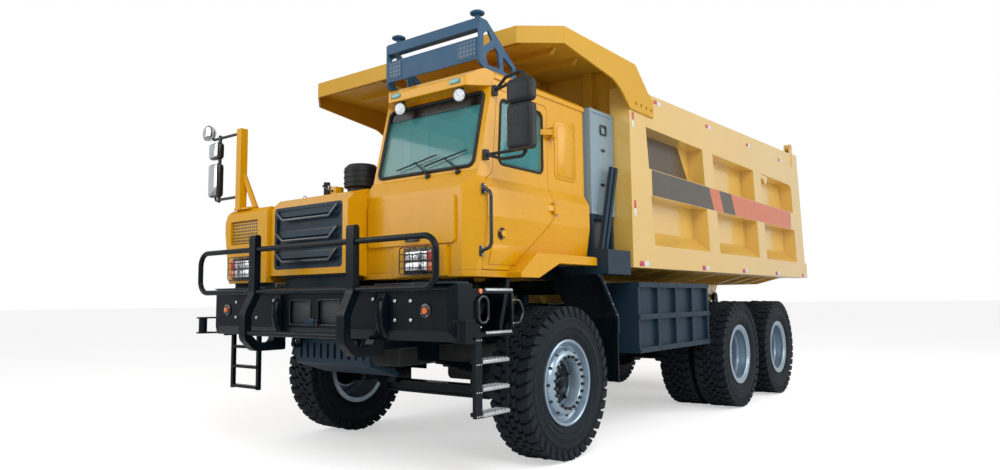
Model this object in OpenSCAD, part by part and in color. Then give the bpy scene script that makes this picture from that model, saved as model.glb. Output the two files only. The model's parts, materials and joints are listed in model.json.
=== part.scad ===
// Rigid mining dump truck with an offset cab, three axles and a canopied tipping bed.
// X points to the truck's left, Y to its rear and Z up. Places along Y are drawn from the front axle,
// heights from the floor, and the finished truck is then moved over the middle of its own footprint.

/* [Wheels] */
// Outer diameter of a tyre
tyre_d = 1490; // [1200:10:1800]
// Section width of a tyre
tyre_w = 430; // [340:5:520]
// Diameter over the rim flange
rim_d = 830; // [700:5:900]
// Front axle to middle axle
wheelbase = 4320; // [3600:10:5400]
// Middle axle to rear axle
bogie = 1800; // [1750:10:2200]
// Centre plane of a front tyre from the centreline
front_wheel_x = 1502; // [1480:1:1650]
// Outer face of an outer rear tyre from the centreline
rear_face_x = 1910; // [1850:1:2000]
// Free space between twin tyres
twin_gap = 70; // [40:5:120]
// Kingpin from the centreline
kingpin_x = 1220; // [1150:1:1230]
// Length of a steering arm
steer_arm = 300; // [260:5:320]
// Spindle diameter of a front wheel
front_spindle_d = 140; // [100:5:170]
// Spindle diameter of a rear wheel
rear_spindle_d = 200; // [150:5:230]
// Height of the axle line in this drawing
axle_line = 745; // [745]

/* [Frame] */
// Outer face of a frame rail from the centreline
rail_out = 470; // [440:5:520]
// Width of a frame rail
rail_w = 110; // [90:5:130]
// Underside of the rails
rail_z0 = 1100; // [1060:5:1130]
// Height of the rails
rail_h = 380; // [330:5:390]
// Thickness of a rail's web and flanges
rail_t = 36; // [20:1:45]

/* [Front end] */
// Half width of the bumper
bumper_half = 1718; // [1650:1:1800]
// Front face of the bumper
bumper_y = -1735; // [-1800:5:-1700]
// Front to back depth of the bumper
bumper_depth = 245; // [200:5:260]
// Underside of the bumper
bumper_z0 = 1218; // [1190:2:1240]
// Top of the bumper
bumper_z1 = 1690; // [1660:5:1720]
// Diameter of the bull bar's tube
bar_tube_d = 52; // [40:1:70]
// Upright of the bull bar from the centreline
upright_x = 715; // [600:5:800]
// Top of the bull bar's loop
loop_z1 = 2070; // [2000:5:2150]
// Bottom of the bull bar's loop
loop_z0 = 1655; // [1600:5:1760]

/* [Cab] */
// Inner side wall of the cab from the centreline
cab_in = 240; // [200:5:300]
// Outer side skin of the cab from the centreline
cab_out = 1640; // [1600:5:1700]
// Lower front panel of the cab
cab_front = -1345; // [-1400:5:-1330]
// Back wall of the cab
cab_rear = 570; // [500:5:590]
// Thickness of the cab's walls
cab_wall = 50; // [40:1:70]
// Underside of the cab floor
cab_z0 = 1755; // [1755]
// Height at which the roof sits on the walls
cab_z1 = 3560; // [3520:5:3600]
// Gap all round a moving panel
panel_gap = 6; // [5:1:10]

/* [Bed] */
// Half width of the bed over its side posts
bed_half = 1840; // [1700:5:2210]
// Thickness of a side wall over its posts
wall_t = 250; // [200:5:280]
// Thickness of the sheet in a bay
bay_t = 40; // [20:1:60]
// Front face of the bed
bed_front = 1160; // [1150:5:1300]
// Rear overhang of the bed behind the rear axle
bed_overhang = 2130; // [1900:10:2400]
// Underside of the bed's sills
bed_z0 = 1895; // [1880:5:1950]
// Top of the bed's sills
sill_z1 = 2165; // [2120:5:2200]
// Bottom of the middle rail
mid_z0 = 2745; // [2650:5:2800]
// Top of the middle rail
mid_z1 = 3060; // [2980:5:3120]
// Bottom of the top rail
top_rail_z0 = 3545; // [3450:5:3600]
// Front end of the top edge
wall_z1_front = 3950; // [3900:5:4000]
// Rear end of the top edge
wall_z1_rear = 4167; // [4100:5:4200]
// Top of the canopy
canopy_z1 = 4218; // [4200:2:4300]
// Front edge of the canopy
canopy_y = -530; // [-530:5:-300]

/* [Hoist] */
// Bed hinge behind the rear axle
hinge_back = 980; // [900:5:1100]
// Height of the bed hinge
hinge_z = 1560; // [1550:1:1570]
// Diameter of the hinge pins
hinge_pin_d = 100; // [80:2:110]
// Lower hoist pin in front of the bed hinge
hoist_reach = 1870; // [1800:10:1900]
// Height of the lower hoist pin
hoist_z = 600; // [560:5:610]
// Diameter of the lower hoist pin
hoist_pin_d = 120; // [90:2:130]
// Outer diameter of a hoist barrel
barrel_d = 220; // [180:2:240]

/* [Hidden] */
$fn = 64;

paint = "#E3A312";
dark_paint = "#20262B";
blue_grey = "#4A5560";
steel = "#A9B4BE";
rubber = "#24272B";

seat_gap = 0.3;
run_gap = 0.08;
rail_in = rail_out - rail_w;
rail_z1 = rail_z0 + rail_h;
bumper_back = bumper_y + bumper_depth;
rear_axle_y = wheelbase + bogie;
bogie_y = wheelbase + bogie / 2;
hinge_y = rear_axle_y + hinge_back;
frame_rear = hinge_y + 200;
bed_rear = rear_axle_y + bed_overhang;
twin_outer_x = rear_face_x - tyre_w / 2;
twin_inner_x = twin_outer_x - tyre_w - twin_gap;
floor_z1 = cab_z0 + 60;
bull_front = -2030;
mid_y = (bed_rear + bull_front) / 2;

// Directions, corners and rounded outlines
function unit(v) = v / norm(v);
function turn(a) = ((a + 540) % 360) - 180;
function fillet(p0, p1, p2, r, n = 5) =
  let (a = unit(p0 - p1), b = unit(p2 - p1), half = acos(a * b) / 2, c = p1 + unit(a + b) * r / sin(half),
       s = p1 + a * r / tan(half) - c, e = p1 + b * r / tan(half) - c, a0 = atan2(s.y, s.x),
       sweep = turn(atan2(e.y, e.x) - a0))
  [for (i = [0:n]) c + r * [cos(a0 + sweep * i / n), sin(a0 + sweep * i / n)]];
function rounded(p, r) = let (n = len(p)) [for (i = [0:n - 1])
  let (ri = is_num(r) ? r : r[i])
  each (ri == 0 ? [p[i]] : fillet(p[(i + n - 1) % n], p[i], p[(i + 1) % n], ri))];
function rect_points(a0, b0, a1, b1) = [[a0, b0], [a1, b0], [a1, b1], [a0, b1]];

module placed() translate([0, -mid_y, tyre_d / 2 - axle_line]) children();
module side(x0, x1) translate([x0, 0, 0]) rotate([90, 0, 90]) linear_extrude(x1 - x0) children();
module front(y0, y1) translate([0, y1, 0]) rotate([90, 0, 0]) linear_extrude(y1 - y0) children();
module plan(z0, z1) translate([0, 0, z0]) linear_extrude(z1 - z0) children();
module box(lo, hi) translate(lo) cube(hi - lo);
module both_sides() { children(); mirror([1, 0, 0]) children(); }
module rod_x(x0, x1, y, z, d) translate([x0, y, z]) rotate([0, 90, 0]) cylinder(d = d, h = x1 - x0);
module rod_y(x, y0, y1, z, d) translate([x, y0, z]) rotate([-90, 0, 0]) cylinder(d = d, h = y1 - y0);
module rod_z(x, y, z0, z1, d) translate([x, y, z0]) cylinder(d = d, h = z1 - z0);
module round_rect(a0, b0, a1, b1, r) polygon(rounded(rect_points(a0, b0, a1, b1), r));

// Round bar between two points
module bar(p, q, d) {
  v = q - p;
  translate(p) rotate([0, acos(v.z / norm(v)), atan2(v.y, v.x)]) cylinder(d = d, h = norm(v));
}

// Frame

beam_y = [-1050, 430];
beam_z0 = 1600;
rail_cross_y = [-1380, 700, 1500, 2600, wheelbase - 500, rear_axle_y - 480, hinge_y - 350];
bed_beam_x0 = rail_in + 15;
bed_beam_x1 = rail_out - 15;
bed_beam_z0 = rail_z1 + 20;
ear_t = 36;

module rail_profile() polygon([[bumper_back, rail_z0 + 30], [bumper_back, rail_z1], [frame_rear, rail_z1],
  [frame_rear, rail_z0 + 120], [frame_rear - 260, rail_z0], [bumper_back + 120, rail_z0]]);

module hinge_ear() {
  polygon([[hinge_y - 160, rail_z0 + 140], [hinge_y + 150, rail_z0 + 140], [hinge_y + 82, hinge_z + 20],
    [hinge_y - 82, hinge_z + 20]]);
  translate([hinge_y, hinge_z]) circle(d = hinge_pin_d + 70);
}

module chassis_frame() color(dark_paint) placed() {
  both_sides() {
    difference() {
      side(rail_in, rail_out) rail_profile();
      box([rail_in - 1, bumper_back + 160, rail_z0 + rail_t], [rail_out - rail_t, frame_rear - 280, rail_z1 - rail_t]);
    }
    side(rail_out, rail_out + ear_t) hinge_ear();
    side(rail_in - ear_t, rail_in) hinge_ear();
    rod_x(rail_in - ear_t - 8, rail_out + ear_t + 8, hinge_y, hinge_z, hinge_pin_d);
    for (y = [bed_front + 300, wheelbase - 900, bogie_y + 500, rear_axle_y + 300])
      box([bed_beam_x0, y - 70, rail_z1], [bed_beam_x1, y + 70, bed_beam_z0 - seat_gap]);
    for (y = beam_y) box([rail_in, y, rail_z1], [rail_out, y + 100, beam_z0]);
    side(rail_in, rail_in + 38) hoist_hanger();
  }
  for (y = rail_cross_y)
    box([rail_t - rail_out, y - 45, rail_z0 + 60], [rail_out - rail_t, y + 45, rail_z1 - 60]);
  box([-rail_in, frame_rear - 90, rail_z0 + 140], [rail_in, frame_rear - 20, rail_z1]);
  for (y = beam_y) box([-1560, y, beam_z0], [1290, y + 100, cab_z0]);
  rod_x(-rail_in - 38, rail_in + 38, hoist_y, hoist_z, hoist_pin_d);
  difference() {
    union() {
      box([-110, frame_rear - 20, rail_z0 + 180], [110, frame_rear + 10, rail_z0 + 340]);
      plan(rail_z0 + 230, rail_z0 + 290) {
        circle_at(0, frame_rear + 90, 150);
        polygon(rect_points(-75, frame_rear + 5, 75, frame_rear + 90));
      }
    }
    rod_z(0, frame_rear + 90, rail_z0 + 200, rail_z0 + 320, 64);
  }
}

module circle_at(x, y, d) translate([x, y]) circle(d = d);

module hoist_hanger() {
  polygon([[hoist_y - 190, rail_z0 + 40], [hoist_y - 90, hoist_z], [hoist_y + 90, hoist_z],
    [hoist_y + 190, rail_z0 + 40]]);
  translate([hoist_y, hoist_z]) circle(d = hoist_pin_d + 70);
}

// Front end

lamp_hole_x = 1420;
tow_x = 415;
sensor_at = [1840, -1770];

module front_bumper() color(dark_paint) placed() difference() {
  union() {
    intersection() {
      plan(bumper_z0, bumper_z1) polygon(rounded([[-bumper_half, bumper_back], [-bumper_half, bumper_y + 55],
        [-bumper_half + 65, bumper_y], [bumper_half - 65, bumper_y], [bumper_half, bumper_y + 55],
        [bumper_half, bumper_back]], [0, 30, 30, 30, 30, 0]));
      side(-bumper_half, bumper_half) polygon([[bumper_y, bumper_z0 + 90], [bumper_y, bumper_z1 - 45],
        [bumper_y + 45, bumper_z1], [bumper_back, bumper_z1], [bumper_back, bumper_z0], [bumper_y + 70, bumper_z0]]);
    }
    both_sides() side(tow_x - 20, tow_x + 20) polygon(rounded([[bumper_y + 80, bumper_z0 + 5],
      [bumper_y + 200, bumper_z0 + 5], [bumper_y + 165, bumper_z0 - 105], [bumper_y + 60, bumper_z0 - 105]],
      [0, 0, 30, 30]));
    both_sides() {
      for (z = [1232, 1392]) plan(z - 8, z + 8) polygon(rounded([[bumper_half - 5, bumper_y + 90],
        [bumper_half - 5, bumper_back - 20], [sensor_at.x + 50, sensor_at.y + 110], [sensor_at.x + 60, sensor_at.y - 60],
        [sensor_at.x - 60, sensor_at.y - 60]], [0, 0, 40, 40, 40]));
      rod_z(sensor_at.x, sensor_at.y, 1230, 1394, 86);
    }
  }
  both_sides() {
    rod_x(tow_x - 30, tow_x + 30, bumper_y + 118, bumper_z0 - 52, 60);
    front(bumper_y - 1, bumper_y + 30) round_rect(48, 1335, 372, 1575, 20);
    front(bumper_y - 1, bumper_y + 25) circle_at(lamp_hole_x, 1475, 130);
  }
  both_sides() box([rail_out + 60, bumper_y + 60, bumper_z0 + 40], [bumper_half - 60, bumper_back + 1, bumper_z1 - 60]);
  box([-rail_in + 30, bumper_y + 60, bumper_z0 + 40], [rail_in - 30, bumper_back + 1, bumper_z1 - 60]);
}

loop_half = 1714 - bar_tube_d / 2;
loop_r = 130;
loop_y = -1900;
upright_w = 96;

module loop_corner(x, z, a) translate([x, loop_y, z]) rotate([90, 0, 0]) rotate([0, 0, a])
  rotate_extrude(angle = 90) translate([loop_r, 0]) circle(d = bar_tube_d);

module bull_bar() color(dark_paint) placed() {
  both_sides() {
    side(upright_x - upright_w / 2, upright_x + upright_w / 2) polygon(rounded([[-1935, 2215], [-1935, 1640],
      [bull_front, 1450], [bull_front, 1200], [-1910, 1080], [-1560, 1080], [-1560, bumper_z0], [-1690, bumper_z0],
      [-1715, 1160], [-1870, 1160], [-1955, 1245], [-1955, 1430], [-1865, 1610], [-1865, 2215]],
      [30, 120, 120, 90, 110, 20, 0, 0, 40, 60, 60, 90, 90, 30]));
    rod_z(loop_half, loop_y, loop_z0 + loop_r, loop_z1 - loop_r, bar_tube_d);
    loop_corner(loop_half - loop_r, loop_z1 - loop_r, 0);
    loop_corner(loop_half - loop_r, loop_z0 + loop_r, -90);
  }
  for (z = [loop_z0, loop_z1]) rod_x(loop_r - loop_half, loop_half - loop_r, loop_y, z, bar_tube_d);
  rod_x(-upright_x, upright_x, bull_front + 38, 1260, bar_tube_d);
}

guard_half = 533;
guard_slots = 10;

module skid_guard() color(blue_grey) placed() difference() {
  side(-guard_half, guard_half) polygon(rounded([[bumper_back - 40, bumper_z0 - 18], [bumper_back, bumper_z0 - 18],
    [bumper_back, 985], [bumper_back + 330, 880], [bumper_back + 330, 840], [bumper_back - 40, 960]],
    [0, 0, 20, 0, 0, 20]));
  for (i = [0:guard_slots - 1])
    translate([(i - (guard_slots - 1) / 2) * 100, 0, 0])
      front(bumper_back - 50, bumper_back + 10) round_rect(-18, 1010, 18, bumper_z0 - 60, 16);
}

// Axles and springs

eye_d = 150;
eye_z0 = axle_line - 80;
eye_z1 = axle_line + 80;
kingpin_d = 80;
spring_x = 620;
spring_w = 110;
beam_half_y = 80;

module front_axle() color(dark_paint) placed() difference() {
  union() {
    front(-beam_half_y, beam_half_y) polygon([[-kingpin_x, 690], [200 - kingpin_x, 690], [-760, 520], [760, 520],
      [kingpin_x - 200, 690], [kingpin_x, 690], [kingpin_x, 800], [kingpin_x - 200, 800], [760, 650], [-760, 650],
      [200 - kingpin_x, 800], [-kingpin_x, 800]]);
    both_sides() {
      rod_z(kingpin_x, 0, eye_z0, eye_z1, eye_d);
      box([spring_x - spring_w / 2 - 10, -130, 620], [spring_x + spring_w / 2 + 10, 130, 790]);
    }
  }
  both_sides() rod_z(kingpin_x, 0, eye_z0 - 1, eye_z1 + 1, kingpin_d + 2 * run_gap);
  for (y = [-beam_half_y - 1, 45]) front(y, y + 36) polygon([[-740, 545], [740, 545], [740, 600], [-740, 600]]);
}

axle_tube_d = 240;
housing_d = 520;
twin_hub_x0 = twin_inner_x - 190;

module drive_axle(y) translate([0, y, axle_line]) {
  rod_x(-twin_hub_x0 + 6, twin_hub_x0 - 6, 0, 0, axle_tube_d);
  both_sides() {
    rod_x(twin_hub_x0 - 7, twin_outer_x - 140, 0, 0, rear_spindle_d);
    rod_x(twin_hub_x0 - 60, twin_hub_x0 - 6, 0, 0, axle_tube_d + 70);
  }
  intersection() {
    sphere(d = housing_d);
    box([-260, -230, -260], [260, 230, 260]);
  }
}

module rear_axles() color(dark_paint) placed() for (y = [wheelbase, rear_axle_y]) drive_axle(y);

spring_half = 800;
leaf_n = 6;
rear_spring_x = 695;
rear_spring_half = bogie / 2 + 70;
rear_sag = 60;
rear_slope = rear_sag * bogie / pow(rear_spring_half, 2);
rear_seat_z = axle_line + axle_tube_d / 2 * sqrt(1 + pow(rear_slope, 2)) + rear_sag * pow(bogie / 2 / rear_spring_half, 2)
  + 2 * seat_gap;

leaf_t = 20;
front_sag = 75;

// Outline of a stack of leaves, the longest on top, its middle standing at height z
function leaf_reach(i, half) = half * (i + 2) / (leaf_n + 1);
function leaf_line(y, half, z, sag) = [y, z + sag * pow(y / half, 2)];
function leaf_steps(half, z, sag) = [for (i = [leaf_n - 1:-1:0])
  each [leaf_line(leaf_reach(i, half), half, z + i * leaf_t, sag),
        leaf_line(i == 0 ? 0 : leaf_reach(i - 1, half), half, z + i * leaf_t, sag)]];
function leaf_stack(half, z, sag) = let (right = leaf_steps(half, z, sag), n = len(right), l = leaf_reach(leaf_n - 1, half))
  concat(right, [for (i = [n - 2:-1:0]) [-right[i].x, right[i].y]],
    [for (k = [-6:6]) leaf_line(l * k / 6, half, z + leaf_n * leaf_t, sag)]);

module leaf_springs() color(dark_paint) placed() both_sides() {
  side(spring_x - spring_w / 2, spring_x + spring_w / 2) polygon(leaf_stack(spring_half, 790, front_sag));
  for (s = [-1, 1]) box([rail_out, s * 790 - 50, 965], [spring_x + spring_w / 2, s * 790 + 50, rail_z0 + 160]);
  translate([0, bogie_y, 0]) {
    side(rear_spring_x - spring_w / 2, rear_spring_x + spring_w / 2)
      polygon([for (p = leaf_stack(rear_spring_half, 0, rear_sag)) [p.x, rear_seat_z + leaf_n * leaf_t - p.y]]);
    box([rail_in + 40, -110, 800], [rear_spring_x + spring_w / 2, 110, rear_seat_z]);
    box([rail_in + 40, -150, 800], [rail_out + 60, 150, rail_z0]);
  }
}

gearbox_y = [420, 1000];
shaft_d = 110;

module engine() color("#6B6F73") placed() {
  difference() {
    box([-rail_in, -920, 900], [rail_in, 400, 1740]);
    both_sides() box([rail_in - 60, -921, 899], [rail_in + 1, 401, rail_z0 - 20]);
    both_sides() box([rail_in - 60, -921, rail_z1 + 30], [rail_in + 1, 401, 1741]);
  }
  box([-250, -880, 1740], [190, 200, 2350]);
  front(400, gearbox_y[1]) polygon(rounded([[-230, 640], [230, 640], [230, 1080], [-230, 1080]], 60));
}

module propeller_shaft(y0, y1) {
  rod_y(0, y0, y1, axle_line, shaft_d);
  for (y = [y0, y1 - 90]) rod_y(0, y, y + 90, axle_line, shaft_d + 60);
}

module propeller_shafts() color(dark_paint) placed() {
  propeller_shaft(gearbox_y[1], wheelbase - 230);
  propeller_shaft(wheelbase + 230, rear_axle_y - 230);
}

// Hood, grille and right front housing

hood_x0 = -896;
hood_front = -1600;
hood_rear = 250;
hood_z1 = 2650;
hood_t = 26;
grille_x = [-825, 228];
grille_z = [1880, 2510];

function hood_outline(t) = [[hood_front + t, 1820 + (t > 0 ? -90 : 0)], [hood_front + t, 2505 - 0.4 * t],
  [hood_front + 110 + 0.4 * t, 2605 - t], [-1290, hood_z1 - t], [hood_rear - t, hood_z1 - t],
  [hood_rear - t, cab_z0 - (t > 0 ? 1 : 0)], [-1110, cab_z0 - (t > 0 ? 1 : 0)]];

module engine_hood() color(paint) placed() difference() {
  union() {
    side(hood_x0, cab_in - 10) polygon(hood_outline(0));
    intersection() {
      side(cab_in - 11, cab_in + 60) polygon(hood_outline(0));
      box([cab_in - 11, hood_front, 1700], [cab_in + 60, cab_front - panel_gap, 2580]);
    }
  }
  side(hood_x0 + hood_t, cab_in - 10 - hood_t) polygon(hood_outline(hood_t));
  front(hood_front - 1, hood_front + hood_t + 1) round_rect(grille_x[0], grille_z[0], grille_x[1], grille_z[1], 40);
}

louvre_n = 3;

module louvre(i) {
  h = (grille_z[1] - grille_z[0]) / louvre_n;
  z = grille_z[0] + h * i;
  translate([0, 0, z]) side(grille_x[0] + 30, grille_x[1] - 30)
    polygon([[hood_front - 12, h * 0.52], [hood_front + 8, h * 0.78], [hood_front + 24, h * 0.78],
      [hood_front + 24, h * 0.70], [hood_front + 14, h * 0.40]]);
}

module grille() color("#15181A") placed() {
  difference() {
    front(hood_front + 2, hood_front + hood_t) round_rect(grille_x[0] + seat_gap, grille_z[0] + seat_gap,
      grille_x[1] - seat_gap, grille_z[1] - seat_gap, 40);
    front(hood_front + 1, hood_front + hood_t + 1) round_rect(grille_x[0] + 36, grille_z[0] + 36,
      grille_x[1] - 36, grille_z[1] - 36, 20);
  }
  for (i = [0:louvre_n - 1]) louvre(i);
  box([grille_x[0] + 20, hood_front + hood_t, grille_z[0]], [grille_x[1] - 32, hood_front + 60, grille_z[1] - 60]);
  box([grille_x[0] + 40, hood_front + 60, 1800], [grille_x[1] - 40, hood_front + 200, 2480]);
  box([grille_x[0] + 40, bumper_back + 5, rail_z1], [grille_x[1] - 40, hood_front + 200, 1800]);
}

housing_x = [-1660, -900];
housing_lean = 90;
housing_front = hood_front - 40;

module right_front_housing() color(paint) placed() difference() {
  intersection() {
    front(housing_front, hood_rear) polygon(rounded([[housing_x[1], cab_z0], [housing_x[0] + housing_lean, cab_z0],
      [housing_x[0], 2290], [housing_x[0], 2420], [housing_x[0] + 70, 2548], [housing_x[1], 2548]],
      [0, 0, 60, 60, 60, 0]));
    side(housing_x[0], housing_x[1]) polygon(rounded([[housing_front, cab_z0], [housing_front, 2500],
      [housing_front + 40, 2548], [hood_rear, 2548], [hood_rear, cab_z0]], [0, 20, 20, 0, 0]));
  }
  front(housing_front - 1, housing_front + 30) round_rect(-1560, 2170, -1060, 2420, 25);
}

cleaner_x = -290;
cleaner_y = -900;
cleaner_d = 367;

module air_cleaner() color("#17191B") placed() {
  translate([cleaner_x, cleaner_y, 0]) rotate_extrude() polygon([[0, hood_z1], [cleaner_d / 2 - 35, hood_z1],
    [cleaner_d / 2 - 35, 2740], [cleaner_d / 2, 2755], [cleaner_d / 2, 2960], [cleaner_d / 2 - 40, 3000], [0, 3010]]);
  rod_z(-640, -1080, hood_z1, 2830, 70);
  box([-540, -1110, hood_z1], [-460, -1010, 2760]);
}

// Mirrors

mirror_reach = 2150;
post_x = -1428;
post_y = -1608;
head_x = -1905;

module mirror_head(x, y, z0, z1, w, t) translate([x, 0, 0]) front(y, y + t) round_rect(-w / 2, z0, w / 2, z1, 40);

module right_mirrors() color(paint) placed() {
  box([post_x - 42, post_y - 42, 2548], [post_x + 42, post_y + 42, 3440]);
  box([post_x - 82, post_y - 30, 2548], [post_x + 200, post_y + 160, 2570]);
  bar([post_x + 8, post_y + 20, 2950], [post_x + 185, post_y + 60, 2565], 60);
  rod_x(head_x - 80, post_x - 32, post_y, 3400, 32);
  rod_x(head_x + 48, post_x - 32, post_y, 2700, 32);
  rod_z(head_x + 48, post_y, 2670, 3430, 40);
  bar([head_x - 70, post_y, 3400], [90 - mirror_reach, post_y, 3450], 26);
  translate([90 - mirror_reach, post_y - 40, 3482]) rotate([-90, 0, 0]) cylinder(d1 = 180, d2 = 90, h = 60);
  mirror_head(head_x, post_y - 40, 3165, 3345, 190, 60);
  mirror_head(head_x, post_y - 40, 2735, 3105, 190, 60);
}

left_mirror_x = mirror_reach - 130;
left_mirror_y = -1180;

module left_mirrors() color("#1B1F22") placed() {
  for (b = [[-1012, 3440], [-1150, 2830]]) {
    box([cab_upper, b[0] - 25, b[1] - 45], [cab_upper + 40, b[0] + 25, b[1] + 45]);
    bar([cab_upper + 30, b[0], b[1]], [left_mirror_x, left_mirror_y + 40, b[1] + (b[1] > 3000 ? 25 : 0)], 28);
  }
  rod_z(left_mirror_x, left_mirror_y + 40, 2790, 3490, 38);
  mirror_head(left_mirror_x, left_mirror_y - 40, 3225, 3425, 260, 66);
  mirror_head(left_mirror_x, left_mirror_y - 40, 2815, 3210, 260, 66);
}

// Cab shell

cab_upper = cab_out - 60;
belt_z = [2540, 2640];
screen_foot = [-1220, 2700];
screen_head = [-1009, cab_z1];
hinge_line = [cab_out + 25, -140];

function cab_plan(t) = [[cab_in + t, cab_front + t], [cab_out - 160 - 0.4 * t, cab_front + t],
  [cab_out - t, cab_front + 160 + 0.4 * t], [cab_out - t, cab_rear - t], [cab_in + t, cab_rear - t]];
function cab_section(t) = [[cab_in + t, cab_z0], [cab_out - 80 - t, cab_z0], [cab_out - t, 2290],
  [cab_out - t, belt_z[0] - 0.5 * t], [cab_upper - t, belt_z[1] - 0.5 * t], [cab_upper - t, cab_z1],
  [cab_in + t, cab_z1]];
function cab_profile(t) = [[cab_front + t, cab_z0], [cab_front + t, 2545 - 0.4 * t],
  [screen_foot.x + t, screen_foot.y - 0.4 * t], [screen_head.x + t, cab_z1], [cab_rear - t, cab_z1],
  [cab_rear - t, cab_z0]];

module cab_form(t) intersection() {
  plan(cab_z0, cab_z1) polygon(cab_plan(t));
  front(cab_front, cab_rear) polygon(cab_section(t));
  side(cab_in, cab_out) polygon(cab_profile(t));
}

// Outline of the door leaf, grown by t on every side
module door_outline(t) polygon(rounded([[-1180 - t, floor_z1 + panel_gap - t], [-800 + 0.4 * t, floor_z1 + panel_gap - t],
  [-361 + 0.6 * t, 2147 - t], [hinge_line.y + t, 2340 - t], [hinge_line.y + t, 3470 + t], [-951 - t, 3470 + t],
  [-1030 - t, 2690 + 0.4 * t], [-1180 - t, 2590 + 0.4 * t]], [20, 60, 90, 20, 60, 50, 60, 60]));

// Window openings, drawn smaller by t for the panes in them
pane_z = [2790, 3385];
module door_pane(t = 0) polygon(rounded([[t - 935, pane_z[0] + t], [hinge_line.y - 95 - t, pane_z[0] + t],
  [hinge_line.y - 95 - t, pane_z[1] - t], [t - 890, pane_z[1] - t]], 55));
module right_pane(t = 0) round_rect(t - 850, pane_z[0] + t, 350 - t, pane_z[1] - t, 60);
module rear_pane(t = 0) round_rect(480 + t, pane_z[0] + t, 1380 - t, pane_z[1] - t, 60);
screen_x = [310, 1500];
screen_z = [2745, 3440];

module cab_shell() difference() {
  cab_form(0);
  cab_form(cab_wall);
  box([0, -2000, cab_z0 - 1], [2000, 1000, floor_z1]);
  side(1400, 1800) door_outline(panel_gap);
  side(cab_in - 1, cab_in + cab_wall + 1) right_pane();
  front(cab_rear - cab_wall - 1, cab_rear + 1) rear_pane();
  box([screen_x[0], -1600, screen_z[0]], [screen_x[1], -900, screen_z[1]]);
}

split_y = -960;
arch_z = 1900;
arch_x = 1250;
arch_foot = -511;
arch_top = -155;

arch_lean = (arch_top - arch_foot) / (arch_z - cab_z0);
arch_skew = sqrt(1 + pow(arch_lean, 2));

// Sloped and level edge of the wheel arch under the cab, drawn smaller by t for the liner in it
function arch_edge(t) = [[arch_foot + arch_skew * t, cab_z0], [arch_top + (arch_skew - arch_lean) * t, arch_z - t],
  [cab_rear, arch_z - t]];
module arch() polygon([[arch_foot - arch_lean, cab_z0 - 1], [arch_top, arch_z], [cab_rear + 1, arch_z],
  [cab_rear + 1, cab_z0 - 1]]);

module cab_floor() color(paint) placed() difference() {
  intersection() {
    cab_form(0);
    box([0, -2000, cab_z0 - 1], [2000, 1000, floor_z1]);
  }
  side(arch_x, 1800) arch();
}

module cab_front() color(paint) placed() {
  intersection() {
    cab_shell();
    box([0, -2000, floor_z1], [2000, split_y, cab_z1]);
  }
  front(cab_front - 26, cab_front) polygon(rounded([[326, 2056], [1416, 2056], [1416, 2480], [326, 2480]], 40));
  front(cab_front - 40, cab_front) polygon([[700, 1770], [1330, 1770], [1330, 2040], [700, 2040]]);
}

module cab_left_side() color(paint) placed() {
  difference() {
    intersection() {
      cab_shell();
      box([1000, split_y, floor_z1], [2000, cab_rear - cab_wall, cab_z1]);
    }
    side(arch_x, 1800) arch();
  }
  difference() {
    side(cab_out - 75, 1717) polygon(rounded([[-796, cab_z0], [-796, 1800], [-540, 1985], [cab_rear, 1985],
      [cab_rear, arch_z], [arch_top, arch_z], [arch_foot, cab_z0]], [0, 10, 60, 30, 0, 120, 0]));
    cab_form(0);
  }
  for (z = door_hinge_z) {
    for (k = [-1, 1]) hinge_arm(1, z + k * 42, 26);
    rod_z(hinge_line.x, hinge_line.y, z - 60, z + 60, door_pin_d);
  }
}

door_hinge_z = [2440, 3200];
door_pin_d = 18;

// Arm from the cab's side (1) or the door's (-1) to the door hinge, h high about height z
module hinge_arm(s, z, h) plan(z - h / 2, z + h / 2) {
  circle_at(hinge_line.x, hinge_line.y, 44);
  polygon([[cab_side_x(z) - 2, hinge_line.y + s * 110], [hinge_line.x, hinge_line.y + s * 22],
    [hinge_line.x, hinge_line.y - s * 22], [cab_side_x(z) - 2, hinge_line.y + s * 18]]);
}

function cab_side_x(z) = z > belt_z[1] ? cab_upper : cab_out;

module cab_right_side() color(paint) placed() intersection() {
  cab_shell();
  box([0, split_y, floor_z1], [1000, cab_rear - cab_wall, cab_z1]);
}

module cab_rear() color(paint) placed() difference() {
  intersection() {
    cab_shell();
    box([0, cab_rear - cab_wall, floor_z1], [2000, cab_rear, cab_z1]);
  }
  side(arch_x, 1800) arch();
}

roof_side = cab_upper + 15;

module cab_roof() color(paint) placed() intersection() {
  plan(3400, 3800) polygon(rounded([[cab_in - 10, -1000], [416, -1190], [1402, -1190], [roof_side, -1000],
    [roof_side, cab_rear + 15], [cab_in - 10, cab_rear + 15]], [30, 30, 30, 30, 20, 20]));
  side(0, 2000) polygon(rounded([[-1190, 3492], [-1190, 3580], [-1080, 3652], [cab_rear - 40, 3652],
    [cab_rear + 15, 3605], [cab_rear + 15, cab_z1], [screen_head.x - seat_gap, cab_z1],
    [screen_y(3492) - seat_gap, 3492]], [8, 30, 60, 30, 20, 0, 0, 0]));
  front(-1300, cab_rear + 100) polygon(rounded([[cab_in - 10, 3400], [roof_side, 3400], [roof_side, 3605],
    [roof_side - 60, 3652], [cab_in + 50, 3652], [cab_in - 10, 3605]], [0, 0, 15, 40, 40, 15]));
}

pane_t = 14;

function screen_y(z) = screen_foot.x + (screen_head.x - screen_foot.x) * (z - screen_foot.y) / (screen_head.y - screen_foot.y);

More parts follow.
